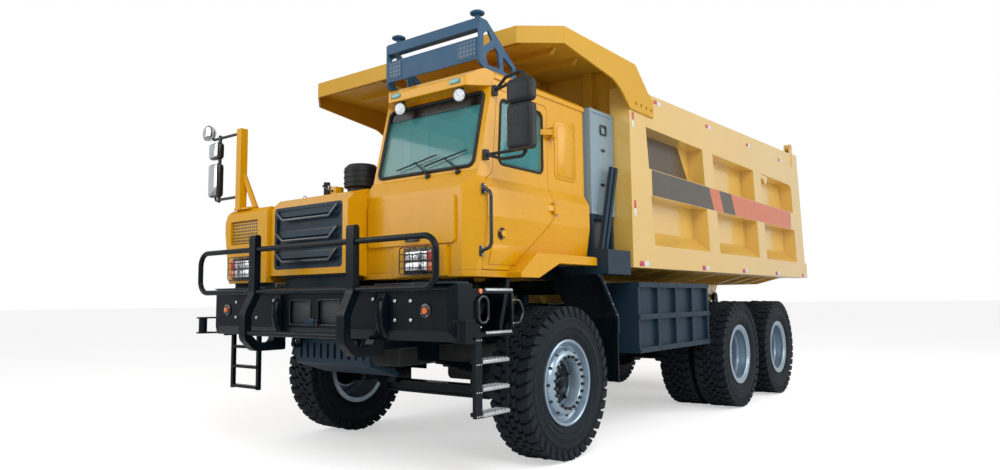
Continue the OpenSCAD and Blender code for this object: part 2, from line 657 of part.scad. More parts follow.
module cab_glass() color("#6FA9B8") placed() {
  side(screen_x[0] + seat_gap, screen_x[1] - seat_gap) polygon([for (p = [[0, 14], [1, 14], [1, 14 + pane_t], [0, 14 + pane_t]])
    let (z = screen_z[p[0]] + (p[0] == 0 ? seat_gap : -seat_gap)) [screen_y(z) + p[1], z]]);
  side(cab_in + 18, cab_in + 18 + pane_t) right_pane(seat_gap);
  front(cab_rear - 18 - pane_t, cab_rear - 18) rear_pane(seat_gap);
}

module left_door() color(paint) placed() {
  difference() {
    intersection() {
      difference() {
        cab_form(0);
        cab_form(cab_wall);
      }
      side(1400, 1800) door_outline(0);
    }
    side(1400, 1800) door_pane();
  }
  rod_x(cab_out - 50, cab_out + 10, -957, 2143, 60);
  for (z = door_hinge_z) difference() {
    hinge_arm(-1, z, 56);
    rod_z(hinge_line.x, hinge_line.y, z - 60, z + 60, door_pin_d + 2 * run_gap);
  }
}

module left_door_window() color("#6FA9B8") placed() side(cab_upper - 18 - pane_t, cab_upper - 18) door_pane(seat_gap);

// Cab furniture

seat_x = 960;
seat_y = -150;
column_tilt = 33;
wheel_at = [seat_x, -640, 2470];

module driver_seat() color("#2B2D30") placed() {
  box([seat_x - 150, seat_y - 180, floor_z1], [seat_x + 150, seat_y + 180, 2150]);
  side(seat_x - 260, seat_x + 260) polygon(rounded([[seat_y - 270, 2150], [seat_y - 270, 2270], [seat_y + 150, 2265],
    [seat_y + 290, 2900], [seat_y + 400, 2890], [seat_y + 270, 2150]], [30, 50, 40, 50, 50, 40]));
  side(seat_x - 140, seat_x + 140) polygon(rounded([[seat_y + 300, 2890], [seat_y + 325, 3080], [seat_y + 410, 3075],
    [seat_y + 390, 2880]], [10, 40, 40, 10]));
}

module dashboard() color("#2A2C2E") placed() {
  side(cab_in + cab_wall, cab_out - 170) polygon(rounded([[-1140, floor_z1], [-1140, 2560], [-880, 2560], [-820, 2480],
    [-900, 2200], [-960, floor_z1]], [0, 30, 40, 40, 60, 0]));
  translate(wheel_at) rotate([-column_tilt, 0, 0]) translate([0, 0, -600]) cylinder(d = 80, h = 600 - 22 - seat_gap);
}

module steering_wheel() color("#1A1B1C") placed() translate(wheel_at) rotate([-column_tilt, 0, 0]) {
  rotate_extrude() translate([210, 0]) circle(d = 34);
  cylinder(d = 120, h = 44, center = true);
  for (a = [90, 210, 330]) rotate([0, 0, a]) translate([40, -20, -9]) cube([165, 40, 18]);
}

// Sensor rack on the roof

rack_x = [290, 1500];
rack_y = [-1100, -540];

module rack_plate() difference() {
  polygon(rounded([[rack_y[0], 3700], [rack_y[0], 4130], [rack_y[0] + 110, 4130], [rack_y[1], 3790], [rack_y[1], 3652],
    [rack_y[0] + 110, 3652]], [50, 15, 40, 20, 10, 40]));
  polygon(rounded([[rack_y[0] + 60, 3990], [rack_y[0] + 60, 3860], [rack_y[0] + 190, 3960], [rack_y[0] + 130, 4040]], 14));
  polygon(rounded([[rack_y[0] + 90, 3800], [rack_y[0] + 220, 3905], [rack_y[0] + 280, 3870], [rack_y[0] + 300, 3710],
    [rack_y[0] + 120, 3710]], 14));
  polygon(rounded([[rack_y[0] + 350, 3850], [rack_y[0] + 360, 3700], [rack_y[0] + 510, 3700], [rack_y[0] + 505, 3770]], 14));
}

module sensor_rack() color(blue_grey) placed() {
  for (x = [rack_x[0], rack_x[1] - 22]) side(x, x + 22) rack_plate();
  box([rack_x[0] + 22, rack_y[0], 4030], [rack_x[1] - 22, rack_y[0] + 90, 4130]);
  box([rack_x[0] + 22, rack_y[0], 3740], [rack_x[1] - 22, rack_y[0] + 14, 3950]);
  for (x = [rack_x[0] + 130, rack_x[1] - 60]) translate([x, rack_y[0] + 45, 0]) rotate_extrude()
    polygon([[0, 4130], [24, 4130], [24, 4170], [66, 4180], [70, 4195], [50, 4208], [0, 4212]]);
}

module headlamp(x0, x1, y) {
  front(y - 60, y) round_rect(x0, 1780, x1, 2000, 40);
  for (x = [x0 + 30, (x0 + x1) / 2, x1 - 30]) rod_z(x, y - 66, 1790, 1990, 12);
}

module headlamps() color("#C7D2DA") placed() {
  headlamp(-1484, -1080, housing_front);
  headlamp(836, 1238, cab_front - 40);
}

// Steps, mudguards and side tanks

step_x = [1300, 1717];
step_y = [-1330, -930];
rung_z = [1038, 812, 604];

module boarding_steps() color(dark_paint) placed() {
  box([step_x[0], bumper_back, 1250], [step_x[0] + 30, step_y[1], 1650]);
  box([step_x[0], bumper_back, 1250], [step_x[1], step_y[0] - 60, 1650]);
  for (z = [1250, 1610]) box([step_x[0], step_y[0] - 60, z], [step_x[1], step_y[1], z + 34]);
  box([step_x[1] - 34, -1460, 590], [step_x[1], -1372, 1250]);
  rod_z(step_x[1] - 20, -1005, 590, 1250, 22);
  for (z = rung_z) box([step_x[1] - 130, -1373, z - 16], [step_x[1], -994, z + 16]);
  for (x = [-1620, -1160]) box([x - 20, bumper_back - 60, 640], [x + 20, bumper_back - 20, bumper_z0]);
  for (i = [0:2]) box([-1620, bumper_back - 70, 650 + i * 208], [-1160, bumper_back - 10, 680 + i * 208]);
  both_sides() box([bumper_half - 60, bumper_y + 140, bumper_z0 - 20], [bumper_half, bumper_back, bumper_z0]);
}

guard_x = [1120, 1717];

module front_mudguards() color(blue_grey) placed() {
  both_sides() {
    side(guard_x[0] + 180, 1560) polygon([[-800, cab_z0], [-745, cab_z0], [-900, 1244], [-925, 1244], [-925, 1330]]);
    side(guard_x[0], guard_x[1]) polygon([[590, deck_z0], [640, deck_z0], [1000, 1352], [1000, 660], [975, 660],
      [975, 1340]]);
  }
  side(arch_x + seat_gap, cab_out - 76) polygon([each arch_edge(seat_gap), each [for (i = [2, 1, 0]) arch_edge(18)[i]]]);
  side(arch_x + seat_gap, arch_x + 20) polygon([each arch_edge(seat_gap), [cab_rear, cab_z0]]);
}

tank_x = [900, 1800];
tank_y = [1350, wheelbase - 890];
tank_z = [940, 1735];
tank_cols = 4;

module tank() {
  box([tank_x[0], tank_y[0], tank_z[0]], [tank_x[1] - 60, tank_y[1], tank_z[1]]);
  for (z = [tank_z[0], (tank_z[0] + tank_z[1]) / 2 - 25, tank_z[1] - 60])
    box([tank_x[1] - 60, tank_y[0], z], [tank_x[1], tank_y[1], z + 60]);
  for (i = [0:tank_cols]) let (y = tank_y[0] + i * (tank_y[1] - tank_y[0] - 50) / tank_cols)
    box([tank_x[1] - 60, y, tank_z[0]], [tank_x[1] - 12, y + 50, tank_z[1]]);
  for (y = [tank_y[0] + 200, tank_y[1] - 320])
    box([rail_out, y, rail_z0 + 20], [tank_x[0], y + 120, rail_z1 - 20]);
}

module side_tanks() color(blue_grey) placed() both_sides() tank();

deck_half = 1830;
deck_y = [600, 1110];
deck_z0 = 1810;
deck_z1 = 2070;
cage_z1 = 2460;

module rear_deck() color(blue_grey) placed() {
  difference() {
    box([-deck_half, deck_y[0], deck_z0], [deck_half, deck_y[1], deck_z1]);
    both_sides() box([rail_out + 100, deck_y[0] + 40, deck_z0 - 1], [deck_half - 30, deck_y[1] - 40, deck_z1 - 40]);
  }
  both_sides() for (y = [640, 990]) box([rail_in, y, rail_z1], [rail_out, y + 100, deck_z0]);
  for (x = [cab_in + 60, cab_out - 60], y = [620, 1060]) box([x, y, deck_z1], [x + 50, y + 50, cage_z1]);
  for (x = [cab_in + 60, cab_out - 60]) box([x, 670, cage_z1 - 50], [x + 50, 1060, cage_z1]);
  for (y = [620, 1060]) box([cab_in + 110, y, cage_z1 - 50], [cab_out - 60, y + 50, cage_z1]);
  box([cab_in + 110, 640, deck_z1], [cab_out - 62, 1050, 2380]);
  for (dy = [0, 90]) side(1690, 1730) translate([dy, 0]) polygon([[650, deck_z1], [700, deck_z1], [970, 2990], [925, 3000]]);
}

module equipment_cabinet() color("#B9C2C9") placed() difference() {
  box([cab_in + 60, 620, cage_z1], [cab_out, 1140, 3620]);
  side(cab_out - 12, cab_out + 1) round_rect(650, 2500, 1080, 3580, 20);
}

// Steering and wheels

ear_gap = 4;
ear_h = 62;
arm_z = [eye_z0 - ear_gap - ear_h, eye_z0 - ear_gap];
knuckle_x = kingpin_x + eye_d / 2 + 8;
hub_gap = 5;

module knuckle() {
  for (z = [arm_z, [eye_z1 + ear_gap, eye_z1 + ear_gap + ear_h]]) {
    rod_z(kingpin_x, 0, z[0], z[1], eye_d);
    box([kingpin_x, -70, z[0]], [knuckle_x + 46, 70, z[1]]);
  }
  box([knuckle_x, -70, arm_z[0]], [knuckle_x + 46, 70, eye_z1 + ear_gap + ear_h]);
  rod_z(kingpin_x, 0, arm_z[0], eye_z1 + ear_gap + 10, kingpin_d);
  rod_x(knuckle_x + 40, front_wheel_x + 60, 0, axle_line, front_spindle_d);
  plan(arm_z[0], arm_z[1]) {
    polygon([[kingpin_x - 45, 0], [kingpin_x + 45, 0], [kingpin_x + 32, steer_arm], [kingpin_x - 32, steer_arm]]);
    circle_at(kingpin_x, steer_arm, 80);
  }
  rod_z(kingpin_x, steer_arm, arm_z[0] - 50, arm_z[0] + 1, 40);
}

module left_knuckle() color(dark_paint) placed() knuckle();
module right_knuckle() color(dark_paint) placed() mirror([1, 0, 0]) knuckle();

module tie_rod() color(steel) placed() difference() {
  union() {
    rod_x(-kingpin_x, kingpin_x, steer_arm, arm_z[0] - 28, 48);
    both_sides() rod_z(kingpin_x, steer_arm, arm_z[0] - 56, arm_z[0] - seat_gap, 84);
  }
  both_sides() rod_z(kingpin_x, steer_arm, arm_z[0] - 60, arm_z[0] + 1, 40 + 2 * run_gap);
}

bead_r = rim_d / 2 - 25;
bead_w = tyre_w / 2 - 45;

module about_x(x) translate([x, 0, axle_line]) rotate([0, 90, 0]) children();

module tyre(x) about_x(x) rotate_extrude($fn = 96) polygon(rounded(let (r = tyre_d / 2, w = tyre_w / 2)
  [[bead_r, -bead_w], [bead_r + 30, -bead_w], [bead_r + 120, -w], [r - 120, -w + 6], [r, -w + 40], [r, w - 40],
   [r - 120, w - 6], [bead_r + 120, w], [bead_r + 30, bead_w], [bead_r, bead_w]],
  [0, 10, 60, 40, 30, 30, 40, 60, 10, 0]));

// Barrel of a rim with its two flanges, as a half section
module rim_section() {
  r = bead_r - seat_gap;
  w = bead_w + seat_gap;
  polygon([[r - 26, -w - 20], [rim_d / 2, -w - 20], [rim_d / 2, -w], [r, -w], [r, w], [rim_d / 2, w],
    [rim_d / 2, w + 20], [r - 26, w + 20]]);
}

front_disc_r = 250;

module front_rim() {
  difference() {
    about_x(front_wheel_x) rotate_extrude() {
      rim_section();
      polygon([[bead_r - 27, 60], [bead_r - 27, 100], [bead_r - 60, 110], [front_disc_r + 10, 185], [150, 185], [150, 155],
        [front_disc_r - 8, 155], [bead_r - 80, 80], [bead_r - 60, 60]]);
    }
    for (a = [0:36:324]) about_x(front_wheel_x) rotate([0, 0, a]) translate([front_disc_r + 60, 0, 0]) cylinder(d = 46, h = 300);
  }
  about_x(front_wheel_x) difference() {
    rotate_extrude() polygon([[0, 40], [0, 110], [70, 110], [90, 90], [150, 90], [160, 160], [150, 156], [150, 156],
      [150, 186], [165, 186], [165, 20], [120, -120], [0, -120]]);
    translate([0, 0, -121]) cylinder(d = front_spindle_d + 2 * run_gap, h = 121 + 60 + hub_gap);
  }
}

module twin_rims() {
  for (x = [twin_inner_x, twin_outer_x]) about_x(x) rotate_extrude() rim_section();
  mid = (twin_inner_x + twin_outer_x) / 2;
  about_x(mid) rotate_extrude() {
    polygon([[bead_r - 27, -90], [bead_r - 27, 90], [bead_r - 50, 60], [bead_r - 70, 26], [210, 26], [210, -26],
      [bead_r - 70, -26], [bead_r - 50, -60]]);
  }
  difference() {
    about_x(0) rotate_extrude() polygon([[0, twin_hub_x0], [200, twin_hub_x0], [215, twin_hub_x0 + 60], [215, mid + 70],
      [180, mid + 90], [180, twin_outer_x - 20], [150, twin_outer_x + 20], [0, twin_outer_x + 30]]);
    rod_x(twin_hub_x0 - 1, twin_outer_x - 140 + hub_gap, 0, axle_line, rear_spindle_d + 2 * run_gap);
  }
}

module twin_tyres() {
  tyre(twin_inner_x);
  tyre(twin_outer_x);
}

// A wheel on axle y, on the left for side 1 and on the right for side -1
module wheel_at_axle(y, s) translate([0, y, 0]) mirror([s < 0 ? 1 : 0, 0, 0]) children();

module front_left_tyre() color(rubber) placed() wheel_at_axle(0, 1) tyre(front_wheel_x);
module front_left_rim() color(steel) placed() wheel_at_axle(0, 1) front_rim();
module front_right_tyre() color(rubber) placed() wheel_at_axle(0, -1) tyre(front_wheel_x);
module front_right_rim() color(steel) placed() wheel_at_axle(0, -1) front_rim();
module middle_left_tyres() color(rubber) placed() wheel_at_axle(wheelbase, 1) twin_tyres();
module middle_left_rims() color(steel) placed() wheel_at_axle(wheelbase, 1) twin_rims();
module middle_right_tyres() color(rubber) placed() wheel_at_axle(wheelbase, -1) twin_tyres();
module middle_right_rims() color(steel) placed() wheel_at_axle(wheelbase, -1) twin_rims();
module rear_left_tyres() color(rubber) placed() wheel_at_axle(rear_axle_y, 1) twin_tyres();
module rear_left_rims() color(steel) placed() wheel_at_axle(rear_axle_y, 1) twin_rims();
module rear_right_tyres() color(rubber) placed() wheel_at_axle(rear_axle_y, -1) twin_tyres();
module rear_right_rims() color(steel) placed() wheel_at_axle(rear_axle_y, -1) twin_rims();

// Bed

bed_inner = bed_half - wall_t;
bed_floor_t = 70;
bed_floor_z1 = bed_z0 + 5 + bed_floor_t;
rear_lean = 0.12;
bay_post = 370;
front_post = 500;
bays = 3;

function rear_edge(z) = bed_rear - 120 - rear_lean * (z - sill_z1);
function top_edge(y) = wall_z1_front + (wall_z1_rear - wall_z1_front) * (y - bed_front) / (rear_edge(wall_z1_rear) - bed_front);
bay_start = bed_front + front_post;
bay_w = (rear_edge(mid_z0) - 520 - bay_start - (bays - 1) * bay_post) / bays;
function bay_edge(i, z) = bay_start + i * (bay_w + bay_post) - rear_lean * (z - mid_z0);
function bay_points(i, z0, z1) = [[bay_edge(i, z0), z0], [bay_edge(i, z0) + bay_w, z0], [bay_edge(i, z1) + bay_w, z1],
  [bay_edge(i, z1), z1]];

module bed_floor() color(paint) placed() {
  box([-bed_inner, bed_front, bed_z0 + 5], [bed_inner, bed_rear - 100, bed_floor_z1]);
  both_sides() difference() {
    union() {
      side(bed_beam_x0, bed_beam_x1) {
        polygon([[bed_front + 140, bed_z0 + 6], [bed_front + 140, bed_z0 - 150], [bed_front + 260, bed_beam_z0],
          [hinge_y, bed_beam_z0], [hinge_y + 330, bed_z0 + 6]]);
        translate([hinge_y, hinge_z]) circle(r = hinge_z - bed_beam_z0 + 8);
      }
    }
    rod_x(bed_beam_x0 - 1, bed_beam_x1 + 1, hinge_y, hinge_z, hinge_pin_d + 2 * run_gap);
  }
  for (y = [bed_front + 60 : 640 : bed_rear - 200]) if (abs(y - hoist_top.x) > 230)
    front(y - 30, y + 30) polygon([[-bed_inner + 40, bed_z0 + 6], [bed_inner - 40, bed_z0 + 6], [1100, bed_z0 - 110],
      [-1100, bed_z0 - 110]]);
  rod_x(-bed_beam_x0, bed_beam_x0, hoist_top.x, hoist_top.y, rod_pin_d);
}

module bed_wall() difference() {
  union() {
    difference() {
      side(bed_inner, bed_half) polygon([[bed_front, bed_z0], [bed_rear, bed_z0], [bed_rear, sill_z1],
        [rear_edge(sill_z1), sill_z1], [rear_edge(wall_z1_rear), wall_z1_rear], [bed_front, wall_z1_front]]);
      for (i = [0:bays - 1]) {
        side(bed_inner + bay_t, bed_half + 1) polygon(rounded(bay_points(i, mid_z1, top_rail_z0),
          i == bays - 1 ? [0, 0, 150, 0] : 0));
        side(bed_inner + bay_t, bed_half + 1) polygon(bay_points(i, sill_z1, mid_z0));
      }
      side(bed_half - 20, bed_half + 1) polygon([[1790, 3872], [rear_edge(3900) - 330, 3905],
        [rear_edge(3900) - 330, wall_z1_rear + 10], [1600, wall_z1_rear + 10], [1600, 3960]]);
    }
    for (i = [0:bays - 1]) front(bay_edge(i, sill_z1) - 30, bay_edge(i, sill_z1) + bay_w + 30)
      polygon([[bed_inner + bay_t - 5, sill_z1 - 5], [bed_half, sill_z1 - 5], [bed_half, sill_z1],
        [bed_inner + bay_t, sill_z1 + 190], [bed_inner + bay_t - 5, sill_z1 + 190]]);
    for (x = gate_lug_x) side(x, x + gate_lug_t) {
      polygon([[gate_y - 130, top_edge(gate_y) - 60], [gate_y + 75, top_edge(gate_y) - 60], [gate_y + 50, gate_z + 20],
        [gate_y - 50, gate_z + 20]]);
      translate([gate_y, gate_z]) circle(d = 120);
    }
    rod_x(gate_lug_x[0] - 6, gate_lug_x[1] + gate_lug_t + 6, gate_y, gate_z, gate_pin_d);
  }
}

module bed_left_wall() color(paint) placed() bed_wall();
module bed_right_wall() color(paint) placed() mirror([1, 0, 0]) bed_wall();

head_t = 100;

module bed_headboard() color(paint) placed() {
  box([-bed_inner, bed_front + 60, bed_floor_z1], [bed_inner, bed_front + head_t, canopy_z1 - 28]);
  for (x = [-1300 : 650 : 1300]) box([x - 60, bed_front, bed_floor_z1], [x + 60, bed_front + 60, canopy_z1 - 28]);
  for (z = [2600, 3300]) box([-bed_inner, bed_front, z], [bed_inner, bed_front + 60, z + 110]);
}

cheek_t = 22;
canopy_x = bed_half + cheek_t;
canopy_corner = [canopy_x - 360, 306];
canopy_band = 172;

function canopy_plan(t) = [[-canopy_corner.x, canopy_y + t], [canopy_corner.x, canopy_y + t],
  [canopy_x - t, canopy_y + canopy_corner.y + 0.4 * t], [canopy_x - t, bed_front + 137], [t - canopy_x, bed_front + 137],
  [t - canopy_x, canopy_y + canopy_corner.y + 0.4 * t]];

module canopy_cheek() side(bed_half, canopy_x) polygon(rounded([[canopy_y + canopy_corner.y, canopy_z1 - canopy_band],
  [canopy_y + canopy_corner.y, canopy_z1], [bed_front + 137, canopy_z1], [bed_front + 430, 3968], [bed_front + 583, 3872],
  [bed_front + 583, 3679], [bed_front - 13, 3679], [bed_front - 200, 3835], [bed_front - 380, 3925]],
  [0, 0, 90, 60, 20, 0, 30, 200, 300]));

module bed_canopy() color(paint) placed() {
  both_sides() difference() {
    canopy_cheek();
    for (k = [0:3]) rod_x(bed_half - 1, canopy_x + 1, bed_front + 130 + k * 130, 3760, 46);
  }
  difference() {
    plan(canopy_z1 - canopy_band, canopy_z1) polygon(canopy_plan(0));
    plan(canopy_z1 - canopy_band - 1, canopy_z1 - 28) polygon(canopy_plan(cheek_t));
    both_sides() box([bed_half, canopy_y + canopy_corner.y + 1, 3000], [canopy_x + 1, 3000, canopy_z1 + 1]);
    box([-bed_half, bed_front - 100, 3000], [bed_half, 3000, canopy_z1 - 28]);
  }
  for (y = [-260, 180, 620]) front(y - 30, y + 30) polygon([[-1500, canopy_z1 - 27], [1500, canopy_z1 - 27],
    [1440, canopy_z1 - 90], [-1440, canopy_z1 - 90]]);
  for (x = [-620, 620]) box([x - 40, canopy_y + cheek_t - 1, canopy_z1 - 110], [x + 40, bed_front, canopy_z1 - 27]);
}

gate_y = rear_edge(wall_z1_rear) - 190;
gate_z = 4296;
gate_pin_d = 60;
gate_lug_x = [bed_half - 150, bed_half - 62];
gate_lug_t = 30;
gate_gap = 14;
gate_t = 110;
gate_arm_x = [gate_lug_x[0] + gate_lug_t + 5, gate_lug_x[1] - 5];

module tailgate() color(paint) placed() {
  half = bed_inner - gate_gap;
  z0 = bed_floor_z1 + gate_gap;
  z1 = wall_z1_rear + 15;
  side(-half, half) polygon([[rear_edge(z0) - 10, z0], [rear_edge(z0) - gate_t + 50, z0], [rear_edge(z1) - gate_t + 50, z1],
    [rear_edge(z1) - 10, z1]]);
  for (x = [-1200 : 600 : 1200]) side(x - 50, x + 50) polygon([[rear_edge(z0) - 11, z0], [rear_edge(z1) - 11, z1],
    [rear_edge(z1) + 50, z1 - 40], [rear_edge(z0) + 50, z0 + 40]]);
  arm_x1 = gate_arm_x[1];
  box([-arm_x1, rear_edge(z1) - gate_t + 50, z1], [arm_x1, rear_edge(z1) - 10, z1 + 80]);
  both_sides() difference() {
    side(gate_arm_x[0], gate_arm_x[1]) {
      polygon([[gate_y, gate_z + 50], [rear_edge(z1) - 10, z1 + 80], [rear_edge(z1) - gate_t + 50, z1], [gate_y, gate_z - 50]]);
      translate([gate_y, gate_z]) circle(d = 110);
    }
    rod_x(gate_arm_x[0] - 1, gate_arm_x[1] + 1, gate_y, gate_z, gate_pin_d + 2 * run_gap);
  }
}

// Hoist: the pins and the bed hinge form an isosceles triangle, so the barrels lean by half the bed's angle

hoist_y = hinge_y - hoist_reach;
hoist_x = 230;
hoist_r = norm([hoist_reach, hinge_z - hoist_z]);
hoist_top_z = bed_z0 - 95;
hoist_top = [hinge_y - sqrt(pow(hoist_r, 2) - pow(hoist_top_z - hinge_z, 2)), hoist_top_z];
hoist_len = norm(hoist_top - [hoist_y, hoist_z]);
hoist_lean = atan2(hoist_y - hoist_top.x, hoist_top_z - hoist_z);
rod_pin_d = 90;
barrel_wall = 15;
barrel_len = hoist_len - 190;
stage_1_d = barrel_d - 2 * barrel_wall - 2 * seat_gap;
stage_2_d = stage_1_d - 2 * barrel_wall - 2 * seat_gap;
stage_foot = 130;

module on_hoist() placed() both_sides() translate([hoist_x, hoist_y, hoist_z]) rotate([hoist_lean, 0, 0]) children();

module hoist_barrels() color(dark_paint) on_hoist() difference() {
  union() {
    translate([0, 0, 60]) cylinder(d = barrel_d, h = barrel_len - 60);
    rod_x(-70, 70, 0, 0, hoist_pin_d + 70);
    box([-70, -80, 0], [70, 80, 90]);
  }
  translate([0, 0, stage_foot - seat_gap]) cylinder(d = stage_1_d + 2 * seat_gap, h = barrel_len);
  rod_x(-80, 80, 0, 0, hoist_pin_d + 2 * run_gap);
}

module hoist_stage_1() color(steel) on_hoist() difference() {
  translate([0, 0, stage_foot]) cylinder(d = stage_1_d, h = barrel_len - stage_foot + 30);
  translate([0, 0, stage_foot + 40 - seat_gap]) cylinder(d = stage_2_d + 2 * seat_gap, h = barrel_len);
}

module hoist_stage_2() color(steel) on_hoist() difference() {
  union() {
    translate([0, 0, stage_foot + 40]) cylinder(d = stage_2_d, h = hoist_len - stage_foot - 100);
    translate([-60, -70, hoist_len - 90]) cube([120, 140, 88]);
  }
  rod_x(-70, 70, 0, hoist_len, rod_pin_d + 2);
}

chassis_frame();
front_bumper();
bull_bar();
skid_guard();
front_axle();
rear_axles();
leaf_springs();
engine();
propeller_shafts();
engine_hood();
grille();
right_front_housing();
air_cleaner();
right_mirrors();
left_mirrors();
cab_floor();
cab_front();
cab_left_side();
cab_right_side();
cab_rear();
cab_roof();
cab_glass();
driver_seat();
dashboard();
sensor_rack();
headlamps();
boarding_steps();
front_mudguards();
side_tanks();
rear_deck();
equipment_cabinet();
left_door();
left_door_window();
steering_wheel();
left_knuckle();
right_knuckle();
tie_rod();
front_left_tyre();
front_left_rim();
front_right_tyre();
front_right_rim();
middle_left_tyres();
middle_left_rims();
middle_right_tyres();
middle_right_rims();
rear_left_tyres();
rear_left_rims();
rear_right_tyres();
rear_right_rims();
bed_floor();
bed_left_wall();
bed_right_wall();
bed_headboard();
bed_canopy();
tailgate();
hoist_barrels();
hoist_stage_1();
hoist_stage_2();
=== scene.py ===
"""Mining dump truck: finished looks over the fixed frame.

Lengths are written in millimetres: x from the centreline, y from the front axle, z from the floor.
"""
import json
import math

import bmesh
import bpy
from mathutils import Matrix, Vector

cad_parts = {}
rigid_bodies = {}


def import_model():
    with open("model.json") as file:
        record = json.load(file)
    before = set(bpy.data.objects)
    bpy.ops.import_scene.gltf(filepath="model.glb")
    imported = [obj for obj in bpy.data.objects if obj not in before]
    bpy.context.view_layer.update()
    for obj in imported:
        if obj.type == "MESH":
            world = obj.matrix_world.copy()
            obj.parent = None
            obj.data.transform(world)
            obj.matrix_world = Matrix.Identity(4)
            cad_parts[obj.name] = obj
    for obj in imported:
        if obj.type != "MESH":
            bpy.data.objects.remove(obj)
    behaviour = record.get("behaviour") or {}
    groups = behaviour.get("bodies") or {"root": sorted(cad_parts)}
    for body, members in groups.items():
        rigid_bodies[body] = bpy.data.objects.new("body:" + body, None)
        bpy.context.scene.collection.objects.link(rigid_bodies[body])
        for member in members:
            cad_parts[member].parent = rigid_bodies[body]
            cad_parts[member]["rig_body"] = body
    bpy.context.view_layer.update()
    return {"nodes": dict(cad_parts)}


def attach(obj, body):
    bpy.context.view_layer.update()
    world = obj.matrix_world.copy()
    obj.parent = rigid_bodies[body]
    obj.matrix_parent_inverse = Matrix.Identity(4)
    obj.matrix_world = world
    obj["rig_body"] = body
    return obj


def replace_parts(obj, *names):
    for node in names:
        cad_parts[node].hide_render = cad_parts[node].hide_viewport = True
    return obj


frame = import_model()

MIDDLE = 3110
BUMPER_FRONT = -1735
BED_SIDE = 1840
TYRE_R = 745
FRONT_WHEEL_X = 1502
TWIN_X = (1195, 1695)
AXLES = {"front": 0, "middle": 4320, "rear": 6120}


def at(x, y, z):
    """A place in millimetres from the front axle, as metres in the part's frame."""
    return Vector((x / 1000, (y - MIDDLE) / 1000, z / 1000))


# Finishes

def finish_nodes(name):
    """A new material, with its nodes, its links and its shader to build on."""
    material = bpy.data.materials.new(name)
    material.use_nodes = True
    nodes = material.node_tree.nodes
    return material, nodes, material.node_tree.links, nodes["Principled BSDF"]


def speckle(nodes, links, scale, detail=4.0, roughness=0.6):
    """Noise on object coordinates."""
    place = nodes.new("ShaderNodeTexCoord")
    noise = nodes.new("ShaderNodeTexNoise")
    noise.inputs["Scale"].default_value = scale
    noise.inputs["Detail"].default_value = detail
    noise.inputs["Roughness"].default_value = roughness
    links.new(place.outputs["Object"], noise.inputs["Vector"])
    return noise


def ramp(nodes, links, source, low, high, stops=(0.3, 0.7)):
    """Two colours spread over a value."""
    r = nodes.new("ShaderNodeValToRGB")
    r.color_ramp.elements[0].position = stops[0]
    r.color_ramp.elements[1].position = stops[1]
    r.color_ramp.elements[0].color = low
    r.color_ramp.elements[1].color = high
    links.new(source, r.inputs["Fac"])
    return r


def grey(v):
    return (v, v, v, 1)


def bump(nodes, links, height, shader, strength, distance):
    b = nodes.new("ShaderNodeBump")
    b.inputs["Strength"].default_value = strength
    b.inputs["Distance"].default_value = distance
    links.new(height, b.inputs["Height"])
    links.new(b.outputs["Normal"], shader.inputs["Normal"])


def surface(name, dark, light, rough=(0.3, 0.5), scale=3.0, metallic=0.0, coat=0.0, coat_ior=1.5, peel=0.0,
            peel_scale=60.0, shine=0.5):
    """Colour drifting between two tones, uneven gloss and a fine bump, all on object coordinates."""
    material, nodes, links, shader = finish_nodes(name)
    drift = speckle(nodes, links, scale)
    tone = ramp(nodes, links, drift.outputs["Fac"], (*dark, 1), (*light, 1))
    links.new(tone.outputs["Color"], shader.inputs["Base Color"])
    wear = speckle(nodes, links, scale * 6, 6.0)
    gloss = ramp(nodes, links, wear.outputs["Fac"], grey(rough[0]), grey(rough[1]))
    links.new(gloss.outputs["Color"], shader.inputs["Roughness"])
    shader.inputs["Metallic"].default_value = metallic
    shader.inputs["Specular IOR Level"].default_value = shine
    shader.inputs["Coat Weight"].default_value = coat
    shader.inputs["Coat Roughness"].default_value = 0.12
    shader.inputs["Coat IOR"].default_value = coat_ior
    if peel:
        skin = speckle(nodes, links, peel_scale, 3.0)
        bump(nodes, links, skin.outputs["Fac"], shader, peel, 0.004)
    return material


def glass(name, colour, alpha):
    """Tinted see-through pane with a slight haze."""
    material, nodes, links, shader = finish_nodes(name)
    haze = speckle(nodes, links, 2.0)
    gloss = ramp(nodes, links, haze.outputs["Fac"], grey(0.02), grey(0.06))
    links.new(gloss.outputs["Color"], shader.inputs["Roughness"])
    shader.inputs["Base Color"].default_value = (*colour, 1)
    shader.inputs["Alpha"].default_value = alpha
    shader.inputs["Specular IOR Level"].default_value = 0.8
    return material


def glow(name, colour, strength):
    """Lamp lens: small cells of two tones that shine faintly."""
    material, nodes, links, shader = finish_nodes(name)
    cells = nodes.new("ShaderNodeTexVoronoi")
    place = nodes.new("ShaderNodeTexCoord")
    cells.inputs["Scale"].default_value = 55
    links.new(place.outputs["Object"], cells.inputs["Vector"])
    tone = ramp(nodes, links, cells.outputs["Distance"], (*[c * 0.55 for c in colour], 1), (*colour, 1),
                (0.1, 0.6))
    links.new(tone.outputs["Color"], shader.inputs["Base Color"])
    shader.inputs["Roughness"].default_value = 0.12
    shader.inputs["Coat Weight"].default_value = 0.8
    shader.inputs["Emission Color"].default_value = (*colour, 1)
    shader.inputs["Emission Strength"].default_value = strength
    return material


